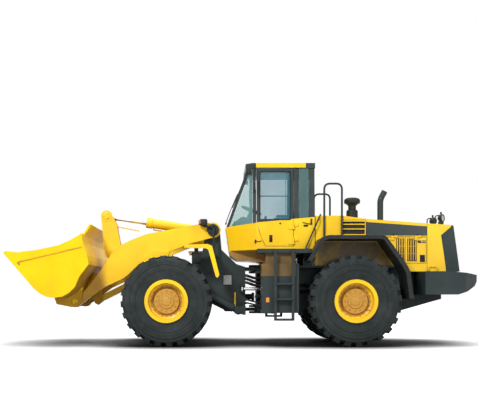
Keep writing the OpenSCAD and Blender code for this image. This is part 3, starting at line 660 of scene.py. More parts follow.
backing, seams, handles = bmesh.new(), bmesh.new(), bmesh.new()
for label, side in SIDES.items():
    # The black plate behind the louvres is painted shade: it stands for the dark inside of the hood.
    side_plate(backing, LOUVRE_BACK, side, LOUVRE_BACK_SIDE, 0.006)
    for start, end in HOOD_SEAMS:
        strip(seams, start, end, 0.007, side, HOOD_SIDE, 0.0012)
    foot, reach = side * (HOOD_SIDE - 0.004), side * (HOOD_SIDE + HANDLE_REACH)
    (x0, x1), (z0, z1) = HANDLE_X, HANDLE_Z
    loop = ((x0, foot, z0), (x0, reach, z0), (x0, reach, z1), (x1, reach, z1), (x1, reach, z0), (x1, foot, z0))
    tube(handles, rounded(loop, 0.02), 0.010)

    body = "engine_door_" + label
    dark, bars, latch = bmesh.new(), bmesh.new(), bmesh.new()
    for x0, x1 in GRILLES:
        opening = ((x0, lean_low(x0)), (x1, lean_low(x1)), (x1, GRILLE_HIGH), (x0, GRILLE_HIGH))
        # The dark plate in each grille opening is painted shade: it stands for the dark space behind the grille.
        side_plate(dark, opening, side, HOOD_SIDE, PANEL)
        count = int((x1 - x0) / GRILLE_PITCH)
        for k in range(count):
            x = x0 + (k + 0.5) * (x1 - x0) / count
            bar = rectangle(x - GRILLE_BAR / 2, lean_low(x) + 0.01, x + GRILLE_BAR / 2, GRILLE_HIGH - 0.008)
            side_plate(bars, bar, side, HOOD_SIDE + PANEL, 0.010)
        for z in CROSS_BARS:
            bar = rectangle(max(x0, CROSS_BAR_START) + 0.004, z - 0.005, x1 - 0.004, z + 0.005)
            side_plate(bars, bar, side, HOOD_SIDE + 0.0032, 0.006)
    side_plate(dark, LATCH_PLATE, side, HOOD_SIDE, PANEL)
    side_plate(dark, VENT_PLATE, side, HOOD_SIDE, PANEL)
    for k in range(VENT_SLATS):
        slat = rectangle(3.312, 1.562 + k * VENT_PITCH, 3.388, 1.574 + k * VENT_PITCH)
        side_plate(dark, slat, side, HOOD_SIDE + PANEL, 0.008)
    lathe(latch, LATCH_BUTTON, (3.335, side * (HOOD_SIDE + PANEL), 1.925), (0, side, 0), 20)
    side_block(latch, side, (3.350, 3.400), (0.762, 0.777), (1.914, 1.936), 0.006)
    piece("door_vents_" + label, dark, "black", body)
    piece("door_grille_bars_" + label, bars, "ochre", body)
    piece("door_latch_" + label, latch, "steel", body)
piece("louvre_backing", backing, "black", "rear_body")
piece("hood_seams", seams, "black", "rear_body")
piece("hood_handles", handles, "yellow", "rear_body")

# Exhaust elbow

EXHAUST = ((2.717, 0.0, 2.330), (2.717, 0.0, 2.800), (2.800, 0.0, 2.952))
EXHAUST_RADIUS, EXHAUST_BEND = 0.058, 0.15
COLLAR = ((0.060, 0.0), (0.095, 0.0), (0.095, 0.050), (0.088, 0.058), (0.060, 0.058))
HOLLOW_SHADE_AND_SOOT = ((AXIS, 0.001), (0.052, 0.001), (0.052, 0.003), (AXIS, 0.003))
mouth = Vector(EXHAUST[2])
outward = (mouth - Vector(EXHAUST[1])).normalized()
bm = bmesh.new()
tube(bm, rounded(EXHAUST, EXHAUST_BEND, 10), EXHAUST_RADIUS, 32)
lathe(bm, COLLAR, (2.717, 0.0, 2.332), UP, 32)
lathe(bm, bead(0.056, 0.006, 0.006), mouth, outward, 32)
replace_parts(piece("exhaust_elbow", bm, "charcoal", "rear_body"), "exhaust_pipe")
# A black disc across the pipe's mouth stands for its dark hollow: painted shade, with soot.
bm = bmesh.new()
lathe(bm, HOLLOW_SHADE_AND_SOOT, mouth, outward, 32)
piece("exhaust_mouth", bm, "black", "rear_body")

# Radiator and fan behind the rear grille

CORE = ((3.590, -0.690, 1.500), (3.670, 0.690, 2.140))
FINS, FIN_SPAN, FIN_HALF, FIN_X, FIN_Z = 44, 1.32, 0.004, (3.668, 3.682), (1.53, 2.11)
FAN_BLADES, FAN_HUB, FAN_TIP, FAN_X, FAN_Z = 8, 0.075, 0.30, 3.720, 1.82
FAN_BOSS = ((AXIS, 0.045), (0.055, 0.042), (FAN_HUB, 0.025), (FAN_HUB, -0.03), (AXIS, -0.03))
# Stations along a blade: radius, half width, half depth
BLADE, BLADE_THICK = ((FAN_HUB * 0.9, 0.045, 0.032), (0.19, 0.062, 0.024), (FAN_TIP, 0.070, 0.014)), 0.006
BLADE_RIM = (0, 1, 3, 5, 4, 2)
bm = bmesh.new()
block(bm, *CORE, 0.012)
for k in range(FINS):
    y = -FIN_SPAN / 2 + k * FIN_SPAN / (FINS - 1)
    prism(bm, rectangle(y - FIN_HALF, FIN_Z[0], y + FIN_HALF, FIN_Z[1]), *FIN_X, "yz")
piece("radiator_core", bm, "black", "rear_body")
bm = bmesh.new()
lathe(bm, FAN_BOSS, (FAN_X, 0, FAN_Z), BACK, 28)
for k in range(FAN_BLADES):
    turn = TAU * k / FAN_BLADES
    corners = []
    for radius, half, twist in BLADE:
        for sign in (-1, 1):
            a = turn + sign * half / radius
            corners.append((FAN_X + sign * twist, radius * math.cos(a), FAN_Z + radius * math.sin(a)))
    front = [bm.verts.new(c) for c in corners]
    back = [bm.verts.new((c[0] + BLADE_THICK, c[1], c[2])) for c in corners]
    for layer in (front, back):
        bm.faces.new((layer[0], layer[1], layer[3], layer[2]))
        bm.faces.new((layer[2], layer[3], layer[5], layer[4]))
    for a, b in zip(BLADE_RIM, BLADE_RIM[1:] + BLADE_RIM[:1]):
        bm.faces.new((front[a], front[b], back[b], back[a]))
lathe(bm, bead(FAN_TIP + 0.03, 0.012, 0.012, steps=6), (FAN_X, 0, FAN_Z), BACK, 48)
piece("cooling_fan", bm, "charcoal", "rear_body")

# Lamps

# Profiles as shares of a lamp's radius, with heights in metres
BEZEL = ((1.0, 0.0), (1.16, 0.0), (1.16, 0.012), (1.05, 0.018), (1.0, 0.012))
DOME = ((0.5, 0.014), (0.85, 0.009), (1.0, 0.004), (1.0, 0.0))
BOWL = ((AXIS, -0.060), (0.030, -0.058), (0.060, -0.030), (0.074, 0.012), (0.076, 0.030), (AXIS, 0.030))
KNOB = ((AXIS, 0.050), (0.014, 0.046), (0.020, 0.034), (0.014, 0.0), (AXIS, 0.0))
REAR_LAMP_Y, GUARD = 0.300, ((3.712, 2.240), (3.712, 2.450), (3.800, 2.462))


def round_lamp(housing, glass, centre, facing, radius):
    """A bezel and a domed lens on a lamp's front face."""
    lathe(housing, [(radius * share, height) for share, height in BEZEL], centre, facing, 28)
    dome = [(radius * share, height) for share, height in DOME]
    lathe(glass, [(AXIS, 0.016), *dome, (AXIS, 0.0)], centre, facing, 28)


housing, glass = bmesh.new(), bmesh.new()
for side in SIDES.values():
    turned = Vector((0.75, side * 0.66, 0.0)).normalized()
    bowl = Vector((3.822, side * REAR_LAMP_Y, 2.405))
    lathe(housing, BOWL, bowl, turned, 32)
    round_lamp(housing, glass, bowl + turned * 0.030, turned, 0.064)
    side_block(housing, side, (3.775, 3.862), (0.245, 0.355), (2.222, 2.348), 0.012)
    lathe(housing, KNOB, bowl + Vector((0.0, 0.0, 0.072)), UP, 20)
    tube(housing, rounded([(x, side * REAR_LAMP_Y, z) for x, z in GUARD], 0.08, 8), 0.011, 12)
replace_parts(piece("rear_lamp_housings", housing, "black", "rear_body"), "rear_lamps")
piece("rear_lamp_lenses", glass, "clear", "rear_body")
housing, glass = bmesh.new(), bmesh.new()
for side in SIDES.values():
    side_block(housing, side, (-0.800, -0.655), (0.700, 0.850), (2.218, 2.345), 0.034)
    side_block(housing, side, (-0.560, -0.520), (0.750, 0.790), (1.700, 2.225), 0.006)
    side_block(housing, side, (-0.740, -0.522), (0.750, 0.790), (2.190, 2.224), 0.006)
    round_lamp(housing, glass, (-0.800, side * 0.758, 2.282), FORWARD, 0.042)
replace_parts(piece("head_lamp_housings", housing, "black", "front_body"), "head_lamps")
piece("head_lamp_lenses", glass, "clear", "front_body")
housing, glass = bmesh.new(), bmesh.new()
for side in SIDES.values():
    side_block(housing, side, (0.090, 0.160), (0.655, 0.755), (3.185, 3.272), 0.016)
    side_block(housing, side, (0.115, 0.140), (0.691, 0.719), (3.262, 3.292), 0.004)
    round_lamp(housing, glass, (0.090, side * 0.705, 3.228), FORWARD, 0.034)
    round_lamp(housing, glass, (1.350, side * 0.460, 3.340), BACK, 0.034)
piece("roof_lamp_bodies", housing, "black", "rear_body")
piece("roof_lamp_lenses", glass, "clear", "rear_body")
amber, red, turn_lamps = bmesh.new(), bmesh.new(), bmesh.new()
for side in SIDES.values():
    side_block(amber, side, (4.276, 4.286), (0.900, 0.990), (1.215, 1.275), 0.004)
    side_block(red, side, (4.276, 4.286), (0.780, 0.880), (1.215, 1.275), 0.004)
    side_block(amber, side, (0.405, 0.465), (1.248, 1.256), (0.800, 0.885), 0.003)
    side_block(turn_lamps, side, (-0.806, -0.776), (0.815, 0.842), (2.255, 2.310), 0.004)
piece("amber_lenses", amber, "amber", "rear_body")
piece("red_lenses", red, "red", "rear_body")
piece("turn_lamps", turn_lamps, "amber", "front_body")

# Fenders, decks, ladders and rails

FENDER_ARCH = (
    (1.150, 1.549), (1.389, 1.954), (1.510, 1.995), (2.485, 1.995),
    (2.544, 1.974), (2.908, 1.467), (2.967, 1.345), (3.029, 0.860),
)
FENDER_SIDE = 1.402
FRONT_SKIRT = (
    (-1.060, 1.832), (-0.645, 1.842), (-0.566, 1.808), (-0.436, 1.292), (-0.468, 1.240),
    (-0.502, 1.262), (-0.634, 1.742), (-0.672, 1.764), (-1.060, 1.776),
)
FRONT_SKIRT_SIDE, FRONT_SKIRT_THICK = 1.3905, 0.011
DECK_TOP, DECK_X, DECK_Y, TREAD_PITCH = 1.765, (0.290, 1.190), (0.845, 1.270), 0.062
TREAD_SIZE = Matrix.Diagonal((0.021, 0.008, 1.0, 1.0))
STEP_TOPS, STEP_TEETH_Y = (0.505, 0.875, 1.150), (1.285, 1.325, 1.370)
STEP_TEETH, STEP_START, STEP_PITCH = 7, 0.615, 0.037
# Route of the slanted rail beside the cab, as X, distance out and Z
DECK_RAIL = (
    (1.460, 0.700, 2.408), (1.460, 0.700, 2.440), (1.400, 0.850, 2.330),
    (1.170, 0.855, 1.810), (1.170, 0.855, 1.764),
)
HOOP_X, HOOP_Y, HOOP_FOOT, HOOP_TOP = (1.517, 1.845), 0.795, 1.996, 3.003
HOOP_FLANGE = ((0.018, 0.0), (0.034, 0.0), (0.034, 0.010), (0.024, 0.015), (0.018, 0.015))
skirts = bmesh.new()
for side in SIDES.values():
    side_plate(skirts, FRONT_SKIRT, side, FRONT_SKIRT_SIDE, FRONT_SKIRT_THICK)
piece("front_fender_skirts", skirts, "yellow", "front_body")
lips, treads, teeth, rails, hoops = (bmesh.new() for _ in range(5))
for side in SIDES.values():
    tube(lips, rounded([(x, side * FENDER_SIDE, z - 0.004) for x, z in FENDER_ARCH], 0.05), 0.013)
    for i in range(int((DECK_X[1] - DECK_X[0]) / TREAD_PITCH)):
        for j in range(int((DECK_Y[1] - DECK_Y[0]) / TREAD_PITCH)):
            x, y = DECK_X[0] + (i + 0.5) * TREAD_PITCH, side * (DECK_Y[0] + (j + 0.5) * TREAD_PITCH)
            lean = Matrix.Rotation(math.radians(45 if (i + j) % 2 else -45), 4, "Z")
            cone(treads, Matrix.Translation((x, y, DECK_TOP + 0.002)) @ lean @ TREAD_SIZE, 1.0, 0.55, 0.006, 8)
    for z in STEP_TOPS:
        for k in range(STEP_TEETH):
            for y in STEP_TEETH_Y:
                spot = (STEP_START + k * STEP_PITCH, side * y, z + 0.004)
                cone(teeth, Matrix.Translation(spot), 0.010, 0.006, 0.009, 8)
    tube(rails, rounded([(x, side * y, z) for x, y, z in DECK_RAIL], 0.05), 0.015)
    near, far = HOOP_X
    hoop = ((near, HOOP_FOOT), (near, HOOP_TOP), (far, HOOP_TOP), (far, HOOP_FOOT))
    tube(hoops, rounded([(x, side * HOOP_Y, z) for x, z in hoop], 0.11, 8), 0.019, 14)
    for x in HOOP_X:
        lathe(hoops, HOOP_FLANGE, (x, side * HOOP_Y, HOOP_FOOT - 0.001), UP, 24)
piece("fender_lips", lips, "black", "rear_body")
piece("deck_treads", treads, "charcoal", "rear_body")
piece("step_teeth", teeth, "charcoal", "rear_body")
piece("deck_rails", rails, "charcoal", "rear_body")
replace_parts(piece("hood_rails", hoops, "charcoal", "rear_body"), "handrails")

# Cab

CAB_SIDE = 0.790
GASKET = (
    ((0.325, 2.334), (0.881, 2.334)),
    ((0.325, 3.228), (0.881, 3.228)),
    ((0.319, 2.328), (0.319, 3.234)),
    ((0.887, 2.328), (0.887, 3.234)),
)
HANDLE_LOOP = ((0.524, -0.792, 2.020), (0.524, -0.816, 2.006), (0.524, -0.816, 1.958), (0.524, -0.796, 1.944))
KEYHOLE = ((AXIS, 0.010), (0.014, 0.009), (0.018, 0.0), (AXIS, 0.0))
INNER_RAIL = ((0.298, -0.744, 2.780), (0.330, -0.716, 2.780), (0.876, -0.716, 2.780), (0.908, -0.744, 2.780))
gasket = bmesh.new()
for start, end in GASKET:
    strip(gasket, start, end, 0.020, -1, CAB_SIDE, 0.004)
piece("door_gasket", gasket, "black", "cab_door")
bm = bmesh.new()
block(bm, (0.494, -0.796, 1.915), (0.554, -0.786, 2.048), 0.022)
tube(bm, rounded(HANDLE_LOOP, 0.012), 0.008)
lathe(bm, KEYHOLE, (0.700, -CAB_SIDE, 2.262), (0, -1, 0), 20)
piece("door_handle", bm, "black", "cab_door")
bm = bmesh.new()
tube(bm, rounded(INNER_RAIL, 0.03), 0.010)
piece("door_inner_rail", bm, "black", "cab_door")

bm = bmesh.new()
block(bm, (0.222, -0.806, 1.893), (0.252, -0.788, 1.962), 0.006)
tube(bm, rounded(((0.250, -0.797, 1.930), (0.300, -0.800, 1.924), (0.345, -0.797, 1.940)), 0.02), 0.007)
block(bm, (1.262, -0.818, 2.236), (1.288, -0.788, 2.352), 0.008)
tube(bm, rounded(((1.270, -0.806, 2.250), (1.190, -0.812, 2.262), (1.110, -0.800, 2.282)), 0.03), 0.007)
block(bm, (1.130, -0.806, 2.205), (1.215, -0.788, 2.240), 0.008)
piece("door_holdback", bm, "black", "rear_body")

SCREEN_FOOT, SCREEN_LEAN = Vector((-0.300, 0.0, 2.292)), Vector((0.4, 0.0, 1.0))
WIPER_HUB = ((AXIS, 0.03), (0.018, 0.026), (0.024, 0.0), (AXIS, 0.0))


def on_screen(y, up, off):
    """A point off metres in front of the windscreen and up metres above its foot."""
    return SCREEN_FOOT + SCREEN_LEAN * up + Vector((-off, y, 0.0))


bm = bmesh.new()
lathe(bm, WIPER_HUB, on_screen(0.0, 0.03, 0.0), (-1, 0, 0.4), 20)
arm = (on_screen(0.0, 0.03, 0.02), on_screen(0.03, 0.25, 0.030), on_screen(0.10, 0.62, 0.022))
tube(bm, rounded(arm, 0.05), 0.008)
tube(bm, (on_screen(-0.05, 0.34, 0.010), on_screen(0.05, 0.58, 0.010), on_screen(0.15, 0.82, 0.010)), 0.007)
piece("windscreen_wiper", bm, "black", "rear_body")

DASHBOARD, DASHBOARD_HALF = ((-0.200, 2.260), (0.090, 2.260), (0.090, 2.420), (0.020, 2.445), (-0.150, 2.335)), 0.250
LEVERS = ((0.520, 0.390), (0.520, 0.460))
LEVER_KNOB = ((AXIS, 0.075), (0.018, 0.068), (0.024, 0.045), (0.017, 0.012), (0.010, 0.0), (AXIS, 0.0))
bm = bmesh.new()
block(bm, (0.560, 0.330, 1.835), (1.080, 0.520, 2.300), 0.035)
block(bm, (0.480, 0.350, 2.300), (0.900, 0.500, 2.350), 0.020)
for x, y in LEVERS:
    tube(bm, rounded(((x, y, 2.345), (x - 0.01, y, 2.440), (x - 0.02, y, 2.450)), 0.01), 0.009)
    lathe(bm, LEVER_KNOB, (x - 0.02, y, 2.440), UP, 18)
prism(bm, DASHBOARD, -DASHBOARD_HALF, DASHBOARD_HALF)
piece("cab_console", bm, "black", "rear_body")

# Seat

CUSHION_COLUMNS, CUSHION_LINES = 40, 26
CHANNEL_WIDE, CHANNEL_DEEP, CORNER_PINCH = 0.012, 0.007, 0.05


def cushion(centre, half, tilt, roundness, channels):
    """A crowned pad: a rounded box with sewn channels across its face."""
    turn = Matrix.Translation(centre) @ Matrix.Rotation(tilt, 4, "Y")

    def power(value):
        return math.copysign(abs(value) ** roundness, value)

    bm = bmesh.new()
    rings = []
    for j in range(1, CUSHION_LINES):
        v = math.pi * j / CUSHION_LINES - math.pi / 2
        ring = []
        for c, s in around(CUSHION_COLUMNS):
            x = half[0] * power(math.cos(v)) * power(c)
            y = half[1] * power(math.cos(v)) * power(s)
            z = half[2] * power(math.sin(v))
            groove = sum(math.exp(-(((y - channel) / CHANNEL_WIDE) ** 2)) for channel in channels)
            pinch = 1 - CORNER_PINCH * (abs(x) / half[0]) ** 2 * (abs(y) / half[1]) ** 2
            deep = math.copysign(CHANNEL_DEEP * groove, z)
            ring.append(bm.verts.new(turn @ Vector((x * pinch, y * pinch, z - deep))))
        rings.append(ring)
    capped(bm, rings)
    return bm


SEAT_CHANNELS, SEAT_TILT, BACK_TILT = (-0.15, -0.05, 0.05, 0.15), math.radians(-4), math.radians(-81)
pad = cushion((0.820, 0.0, 2.255), (0.255, 0.250, 0.075), SEAT_TILT, 0.42, SEAT_CHANNELS)
seat = piece("seat_cushion", pad, "cloth", "rear_body", 60.0)
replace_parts(seat, "operator_seat")
pad = cushion((1.068, 0.0, 2.630), (0.330, 0.235, 0.062), BACK_TILT, 0.45, SEAT_CHANNELS)
back = piece("seat_back", pad, "cloth", "rear_body", 60.0)
pad = cushion((1.135, 0.0, 2.900), (0.075, 0.140, 0.045), BACK_TILT, 0.5, ())
rest = piece("seat_headrest", pad, "cloth", "rear_body", 60.0)
BELLOWS_FOLDS, BELLOWS_PITCH, BELLOWS_INSET = 5, 0.055, 0.018
bm = bmesh.new()
for k in range(BELLOWS_FOLDS):
    inset = BELLOWS_INSET if k % 2 else 0.0
    z = k * BELLOWS_PITCH
    block(bm, (0.690 + inset, -0.190 + inset, 1.835 + z), (0.990 - inset, 0.190 - inset, 1.895 + z), 0.014)
block(bm, (0.600, -0.225, 2.110), (1.050, 0.225, 2.190), 0.025)
for side in SIDES.values():
    side_block(bm, side, (0.660, 1.060), (0.255, 0.315), (2.420, 2.470), 0.022)
    strut = ((1.020, side * 0.285, 2.425), (1.020, side * 0.285, 2.300), (1.000, side * 0.210, 2.160))
    tube(bm, rounded(strut, 0.05), 0.016)
piece("seat_base", bm, "black", "rear_body")

# Pins, caps and pipes of the working arm

BOOM_PIVOT = Vector((-0.552, 0, 2.151))
BUCKET_PIN = Vector((-3.135, 0, 0.812))
CRANK_PIN = Vector((-2.470, 0, 1.735))
CRANK_TOP = Vector((-2.621, 0, 2.465))
CRANK_LOW = Vector((-2.010, 0, 1.220))
LIFT_BASE = Vector((-0.080, 0, 0.640))
LIFT_EYE = Vector((-1.630, 0, 1.424))
# Keeper plate, as shares of its radius with heights in metres
KEEPER = ((0.55, 0.014), (0.94, 0.012), (1.0, 0.006), (1.0, 0.0))
# Pins of each body: centre, distance out, plate radius and bolts
PINS = (
    ("boom_pivot", "front_body", "charcoal", ((BOOM_PIVOT, 0.685, 0.095, 4), (LIFT_BASE, 0.695, 0.065, 3))),
    ("lift_eye", "boom", "yellow", ((LIFT_EYE, 0.680, 0.070, 3), (CRANK_PIN, 0.165, 0.085, 4))),
    ("bucket_pin", "bucket", "yellow", ((BUCKET_PIN, 0.715, 0.052, 3),)),
    ("crank_top", "bellcrank", "yellow", ((CRANK_TOP, 0.115, 0.075, 3), (CRANK_LOW, 0.110, 0.065, 3))),
)


def pin_cap(bolts, caps, centre, side, reach, radius, count):
    """A keeper plate on the end of a pin, with its bolts."""
    spot = Vector((centre.x, side * reach, centre.z))
    out = Vector((0, side, 0))
    plate = [(radius * share, height) for share, height in KEEPER]
    lathe(caps, [(AXIS, 0.014), *plate, (AXIS, 0.0)], spot, out, 32)
    for c, s in around(count, math.pi / count):
        bolt(bolts, spot + out * 0.012 + Vector((c, 0, s)) * radius * 0.66, out, 0.011)


for name, body, look, pins in PINS:
    caps, bolts = bmesh.new(), bmesh.new()
    for centre, reach, radius, count in pins:
        for side in SIDES.values():
            pin_cap(bolts, caps, centre, side, reach, radius, count)
    piece(name + "_caps", caps, look, body)
    piece(name + "_bolts", bolts, look, body)

GLAND_BOLTS, GLAND_RING, PIPE_RADIUS, CLAMPS = 8, 0.78, 0.013, (0.3, 0.7)


def cylinder_fittings(name, body, look, start, end, ys, barrel, head, head_at, pipe, drop):
    """The bolts on a cylinder's head, and the rigid pipe that hangs drop below its barrel between two distances."""
    along = (end - start).normalized()
    across = Vector((0, 1, 0))
    down = along.cross(across).normalized()
    if down.z > 0:
        down = -down
    glands, pipes = bmesh.new(), bmesh.new()
    for y in ys:
        base = Vector((start.x, y, start.z))
        for c, s in around(GLAND_BOLTS):
            bolt(glands, base + along * head_at + (across * c + down * s) * head * GLAND_RING, along, 0.009)
        first, last = (base + along * at for at in pipe)
        low, high = down * (barrel + drop), down * (barrel - 0.01)
        tube(pipes, rounded((first + high, first + low, last + low, last + high), 0.05), PIPE_RADIUS)
        for share in CLAMPS:
            spot = base + along * (pipe[0] + (pipe[1] - pipe[0]) * share) + down * (barrel + drop * 0.5)
            box(pipes, aim(spot, along) @ Matrix.Diagonal((0.034, 0.034 + drop, 0.03, 1.0)), 0.004, 2, 0.0)
    piece(name + "_gland_bolts", glands, "bolt", body)
    piece(name + "_pipes", pipes, look, body)


cylinder_fittings(
    "tilt", "tilt_barrel", "ochre", BOOM_PIVOT, CRANK_TOP, (0.0,),
    barrel=0.093, head=0.105, head_at=1.310, pipe=(0.30, 1.16), drop=0.030,
)
cylinder_fittings(
    "lift", "lift_barrels", "charcoal", LIFT_BASE, LIFT_EYE, (-0.600, 0.600),
    barrel=0.078, head=0.088, head_at=1.360, pipe=(0.28, 1.20), drop=0.020,
)

GUIDE_ROD = (Vector((-2.425, 0, 2.266)), Vector((-1.995, 0, 2.184)))
GUIDE_PLATE = ((-2.560, 2.440), (-2.520, 2.400), (-2.405, 2.285), (-2.400, 2.240), (-2.450, 2.250), (-2.590, 2.400))
bm = bmesh.new()
tube(bm, GUIDE_ROD, 0.011)
prism(bm, GUIDE_PLATE, -0.010, 0.010)
piece("bucket_level_rod", bm, "yellow", "tilt_rod")

# Valve blocks and steering lock bars on the front frame

PLATE_SIDE = 0.480
VALVE_OUT, LOCK_OUT = (PLATE_SIDE - 0.002, PLATE_SIDE + 0.032), (PLATE_SIDE - 0.002, PLATE_SIDE + 0.016)
VALVE_BOLT_X, VALVE_BOLT_Z = (-0.325, -0.277, -0.229), (1.165, 1.265)
valves, bars = bmesh.new(), bmesh.new()
for side in SIDES.values():
    side_block(valves, side, (-0.360, -0.195), VALVE_OUT, (1.125, 1.305), 0.010)
    for x in VALVE_BOLT_X:
        for z in VALVE_BOLT_Z:
            bolt(valves, (x, side * (PLATE_SIDE + 0.030), z), (0, side, 0), 0.011)
    side_block(bars, side, (-0.152, -0.118), LOCK_OUT, (0.700, 0.980), 0.007)
    bolt(bars, (-0.135, side * (PLATE_SIDE + 0.014), 0.945), (0, side, 0), 0.012)
piece("front_valve_blocks", valves, "steel", "front_body")
piece("steering_lock_bars", bars, "yellow", "front_body")

# Loader valve between the tower's plates, with its hoses

VALVE_Y, SPOOLS, SPOOL_PITCH = 0.412, 7, 0.090
SPOOL = ((AXIS, 0.150), (0.030, 0.148), (0.034, 0.140), (0.034, 0.0), (AXIS, 0.0))
bm = bmesh.new()
block(bm, (-0.980, -VALVE_Y, 1.450), (-0.620, VALVE_Y, 1.520), 0.010)
block(bm, (-0.960, -0.330, 1.515), (-0.640, 0.330, 1.760), 0.020)
for k in range(SPOOLS):
    y = -0.270 + k * SPOOL_PITCH
    lathe(bm, SPOOL, (-0.880, y, 1.755), UP, 20)
    hose = ((-0.720, y, 1.750), (-0.720, y, 1.880), (-0.600, y * 0.9, 1.900), (-0.570, y * 0.9, 1.700))
    tube(bm, rounded(hose, 0.07), 0.017, 12)
piece("loader_valve", bm, "black", "front_body")

# Hoses across the steering hinge

HOSE_ENDS, HOSE_RADIUS, HOSE_STEPS = (0.548, 0.072), 0.016, 16
# Distance out, height and sag of each hose
HOSES = (
    (0.300, 1.310, 0.055), (0.345, 1.245, 0.065), (0.390, 1.175, 0.060),
    (0.330, 0.840, 0.045), (0.380, 0.780, 0.040),
)
FERRULE = ((0.0165, -0.045), (0.022, -0.045), (0.022, -0.012), (0.028, -0.010), (0.028, 0.014), (0.0165, 0.014))
hoses = bmesh.new()
for label, side in SIDES.items():
    rear, front = bmesh.new(), bmesh.new()
    for y, z, sag in HOSES:
        route = []
        for k in range(HOSE_STEPS + 1):
            t = k / HOSE_STEPS
            bend = math.sin(math.pi * t) ** 2
            x = HOSE_ENDS[0] + (HOSE_ENDS[1] - HOSE_ENDS[0]) * t
            route.append(Vector((x, side * (y + 0.02 * bend), z - sag * bend)))
        tube(hoses, route, HOSE_RADIUS, 12)
        lathe(rear, FERRULE, route[0], BACK, 6)
        lathe(front, FERRULE, route[-1], FORWARD, 6)
    piece("hose_ends_rear_" + label, rear, "steel", "rear_body")
    piece("hose_ends_front_" + label, front, "steel", "front_body")
across_hinge = piece("steering_hoses", hoses, "black", None)
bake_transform(across_hinge)

# Mirrors

bm = bmesh.new()
for side in SIDES.values():
    side_block(bm, side, (0.230, 0.236), (0.862, 1.003), (2.864, 3.096), 0.003)
piece("mirror_faces", bm, "rod", "rear_body")

# Bucket

BUCKET_SIDE = 1.480
RIB, RIB_END = ((-4.000, 1.520), (-2.870, 1.788)), ((-4.020, 1.515), (-3.985, 1.475))
FLOOR_TOP, FLOOR_LOW = Vector((-4.050, 0, 1.414)), Vector((-3.765, 0, 1.083))
FLOOR_OUT, FLOOR_IN = Vector((-0.758, 0, -0.652)), (0.758, 0, 0.652)
WEAR_BARS, WEAR_SPAN, WEAR_HALF, WEAR_THICK = 6, 2.36, 0.075, 0.014
EDGE_BOLTS, EDGE_SPAN = 18, 2.72
ribs, wear, bolts = bmesh.new(), bmesh.new(), bmesh.new()
for side in SIDES.values():
    strip(ribs, *RIB, 0.022, side, BUCKET_SIDE, 0.010)
    strip(ribs, *RIB_END, 0.030, side, BUCKET_SIDE, 0.012)
raised = FLOOR_OUT * WEAR_THICK
outline = [(p.x, p.z) for p in (FLOOR_TOP, FLOOR_LOW, FLOOR_LOW + raised, FLOOR_TOP + raised)]
for k in range(WEAR_BARS):
    y = -WEAR_SPAN / 2 + k * WEAR_SPAN / (WEAR_BARS - 1)
    prism(wear, outline, y - WEAR_HALF, y + WEAR_HALF)
for k in range(EDGE_BOLTS):
    bolt(bolts, (-3.985, -EDGE_SPAN / 2 + k * EDGE_SPAN / (EDGE_BOLTS - 1), 1.418), FLOOR_IN, 0.016)
piece("bucket_side_ribs", ribs, "ochre", "bucket")
piece("bucket_wear_bars", wear, "steel", "bucket")
piece("edge_bolts", bolts, "steel", "bucket")

# Stage, light and camera

WHITE, SKY, SKY_STRENGTH = (1.0, 1.0, 1.0, 1.0), (0.92, 0.96, 1.0, 1.0), 0.40
FLOOR_GREY, FLOOR_SIZE = (0.48, 0.52), 120.0
# Lamps: name, place, size and power
LAMPS = (
    ("key", (-5.5, -12.5, 8.5), 2.2, 1550.0),
    ("fill", (8.0, -10.5, 5.0), 6.0, 420.0),
    ("top", (0.0, 0.0, 12.0), 9.0, 950.0),
    ("back", (2.0, 11.0, 7.0), 7.0, 300.0),
)
LAMPS_AIM = Vector((0.0, 0.0, 1.2))
CAMERA_AT, CAMERA_LENS, CAMERA_SHIFT = (-0.5145, -16.04, 0.931), 61.76, (0.0502, 0.180)

bpy.context.scene.view_settings.view_transform = "Standard"


def seen_directly(tree):
    """1 for rays that show the background itself, straight, in a reflection or through glass."""
    path = tree.nodes.new("ShaderNodeLightPath")
    total = path.outputs["Is Camera Ray"]
    for name in ("Is Glossy Ray", "Is Transmission Ray"):
        most = tree.nodes.new("ShaderNodeMath")
        most.operation = "MAXIMUM"
        tree.links.new(total, most.inputs[0])
        tree.links.new(path.outputs[name], most.inputs[1])
        total = most.outputs[0]
    return total


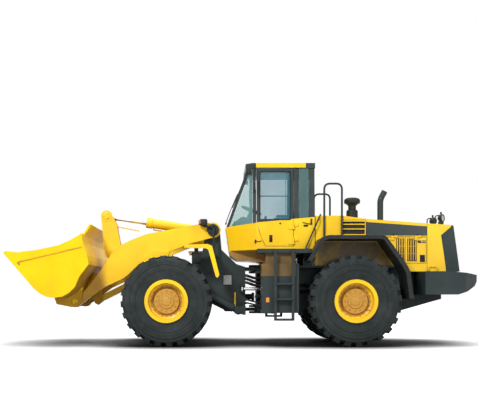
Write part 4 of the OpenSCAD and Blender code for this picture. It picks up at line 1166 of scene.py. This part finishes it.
world = bpy.data.worlds.new("studio")
bpy.context.scene.world = world
world.use_nodes = True
tree = world.node_tree
dim = tree.nodes["Background"]
dim.inputs["Color"].default_value = SKY
dim.inputs["Strength"].default_value = SKY_STRENGTH
white = tree.nodes.new("ShaderNodeBackground")
white.inputs["Color"].default_value = WHITE
blend = tree.nodes.new("ShaderNodeMixShader")
tree.links.new(seen_directly(tree), blend.inputs[0])
tree.links.new(dim.outputs[0], blend.inputs[1])
tree.links.new(white.outputs[0], blend.inputs[2])
tree.links.new(blend.outputs[0], tree.nodes["World Output"].inputs["Surface"])


def openness(s, reach, low, high, power):
    """1 on open floor, down to 0 where most of the sky within reach is hidden; it paints the floor's shadow."""
    near = s.add("ShaderNodeAmbientOcclusion", {"Distance": reach}, samples=16).outputs["AO"]
    return s.sums("POWER", s.span(near, low, high), power)


ground = Shader("studio_floor")
grain = ground.add("ShaderNodeTexNoise", {"Scale": 0.8}).outputs["Fac"]
tint = ground.span(grain, 0.0, 1.0, *FLOOR_GREY)
# Painted shadow: the floor's colour and its glow darken where the machine hides the sky close overhead.
open_sky = ground.sums("MULTIPLY", openness(ground, 1.0, 0.30, 0.95, 1.6), openness(ground, 3.0, 0.28, 0.86, 1.6))
ground.put(Base_Color=ground.sums("MULTIPLY", tint, open_sky), Roughness=0.9, Specular_IOR_Level=0.1)
ground.put(Emission_Color=WHITE, Emission_Strength=ground.sums("MULTIPLY", seen_directly(ground.tree), open_sky))
bm = bmesh.new()
bmesh.ops.create_grid(bm, x_segments=1, y_segments=1, size=FLOOR_SIZE)
floor = show_shape("studio_floor", bm, ground.material)

for name, spot, size, power in LAMPS:
    light = bpy.data.lights.new(name, "AREA")
    light.energy = power
    light.size = size
    lamp = show(name, light)
    lamp.location = spot
    lamp.rotation_euler = (LAMPS_AIM - Vector(spot)).to_track_quat("-Z", "Y").to_euler()

camera_data = bpy.data.cameras.new("camera")
camera_data.sensor_width = 36.0
camera_data.lens = CAMERA_LENS
camera_data.shift_x, camera_data.shift_y = CAMERA_SHIFT
camera_data.clip_end = 400.0
camera = show("camera", camera_data)
camera.location = CAMERA_AT
camera.rotation_euler = (math.pi / 2, 0.0, 0.0)
bpy.context.scene.camera = camera
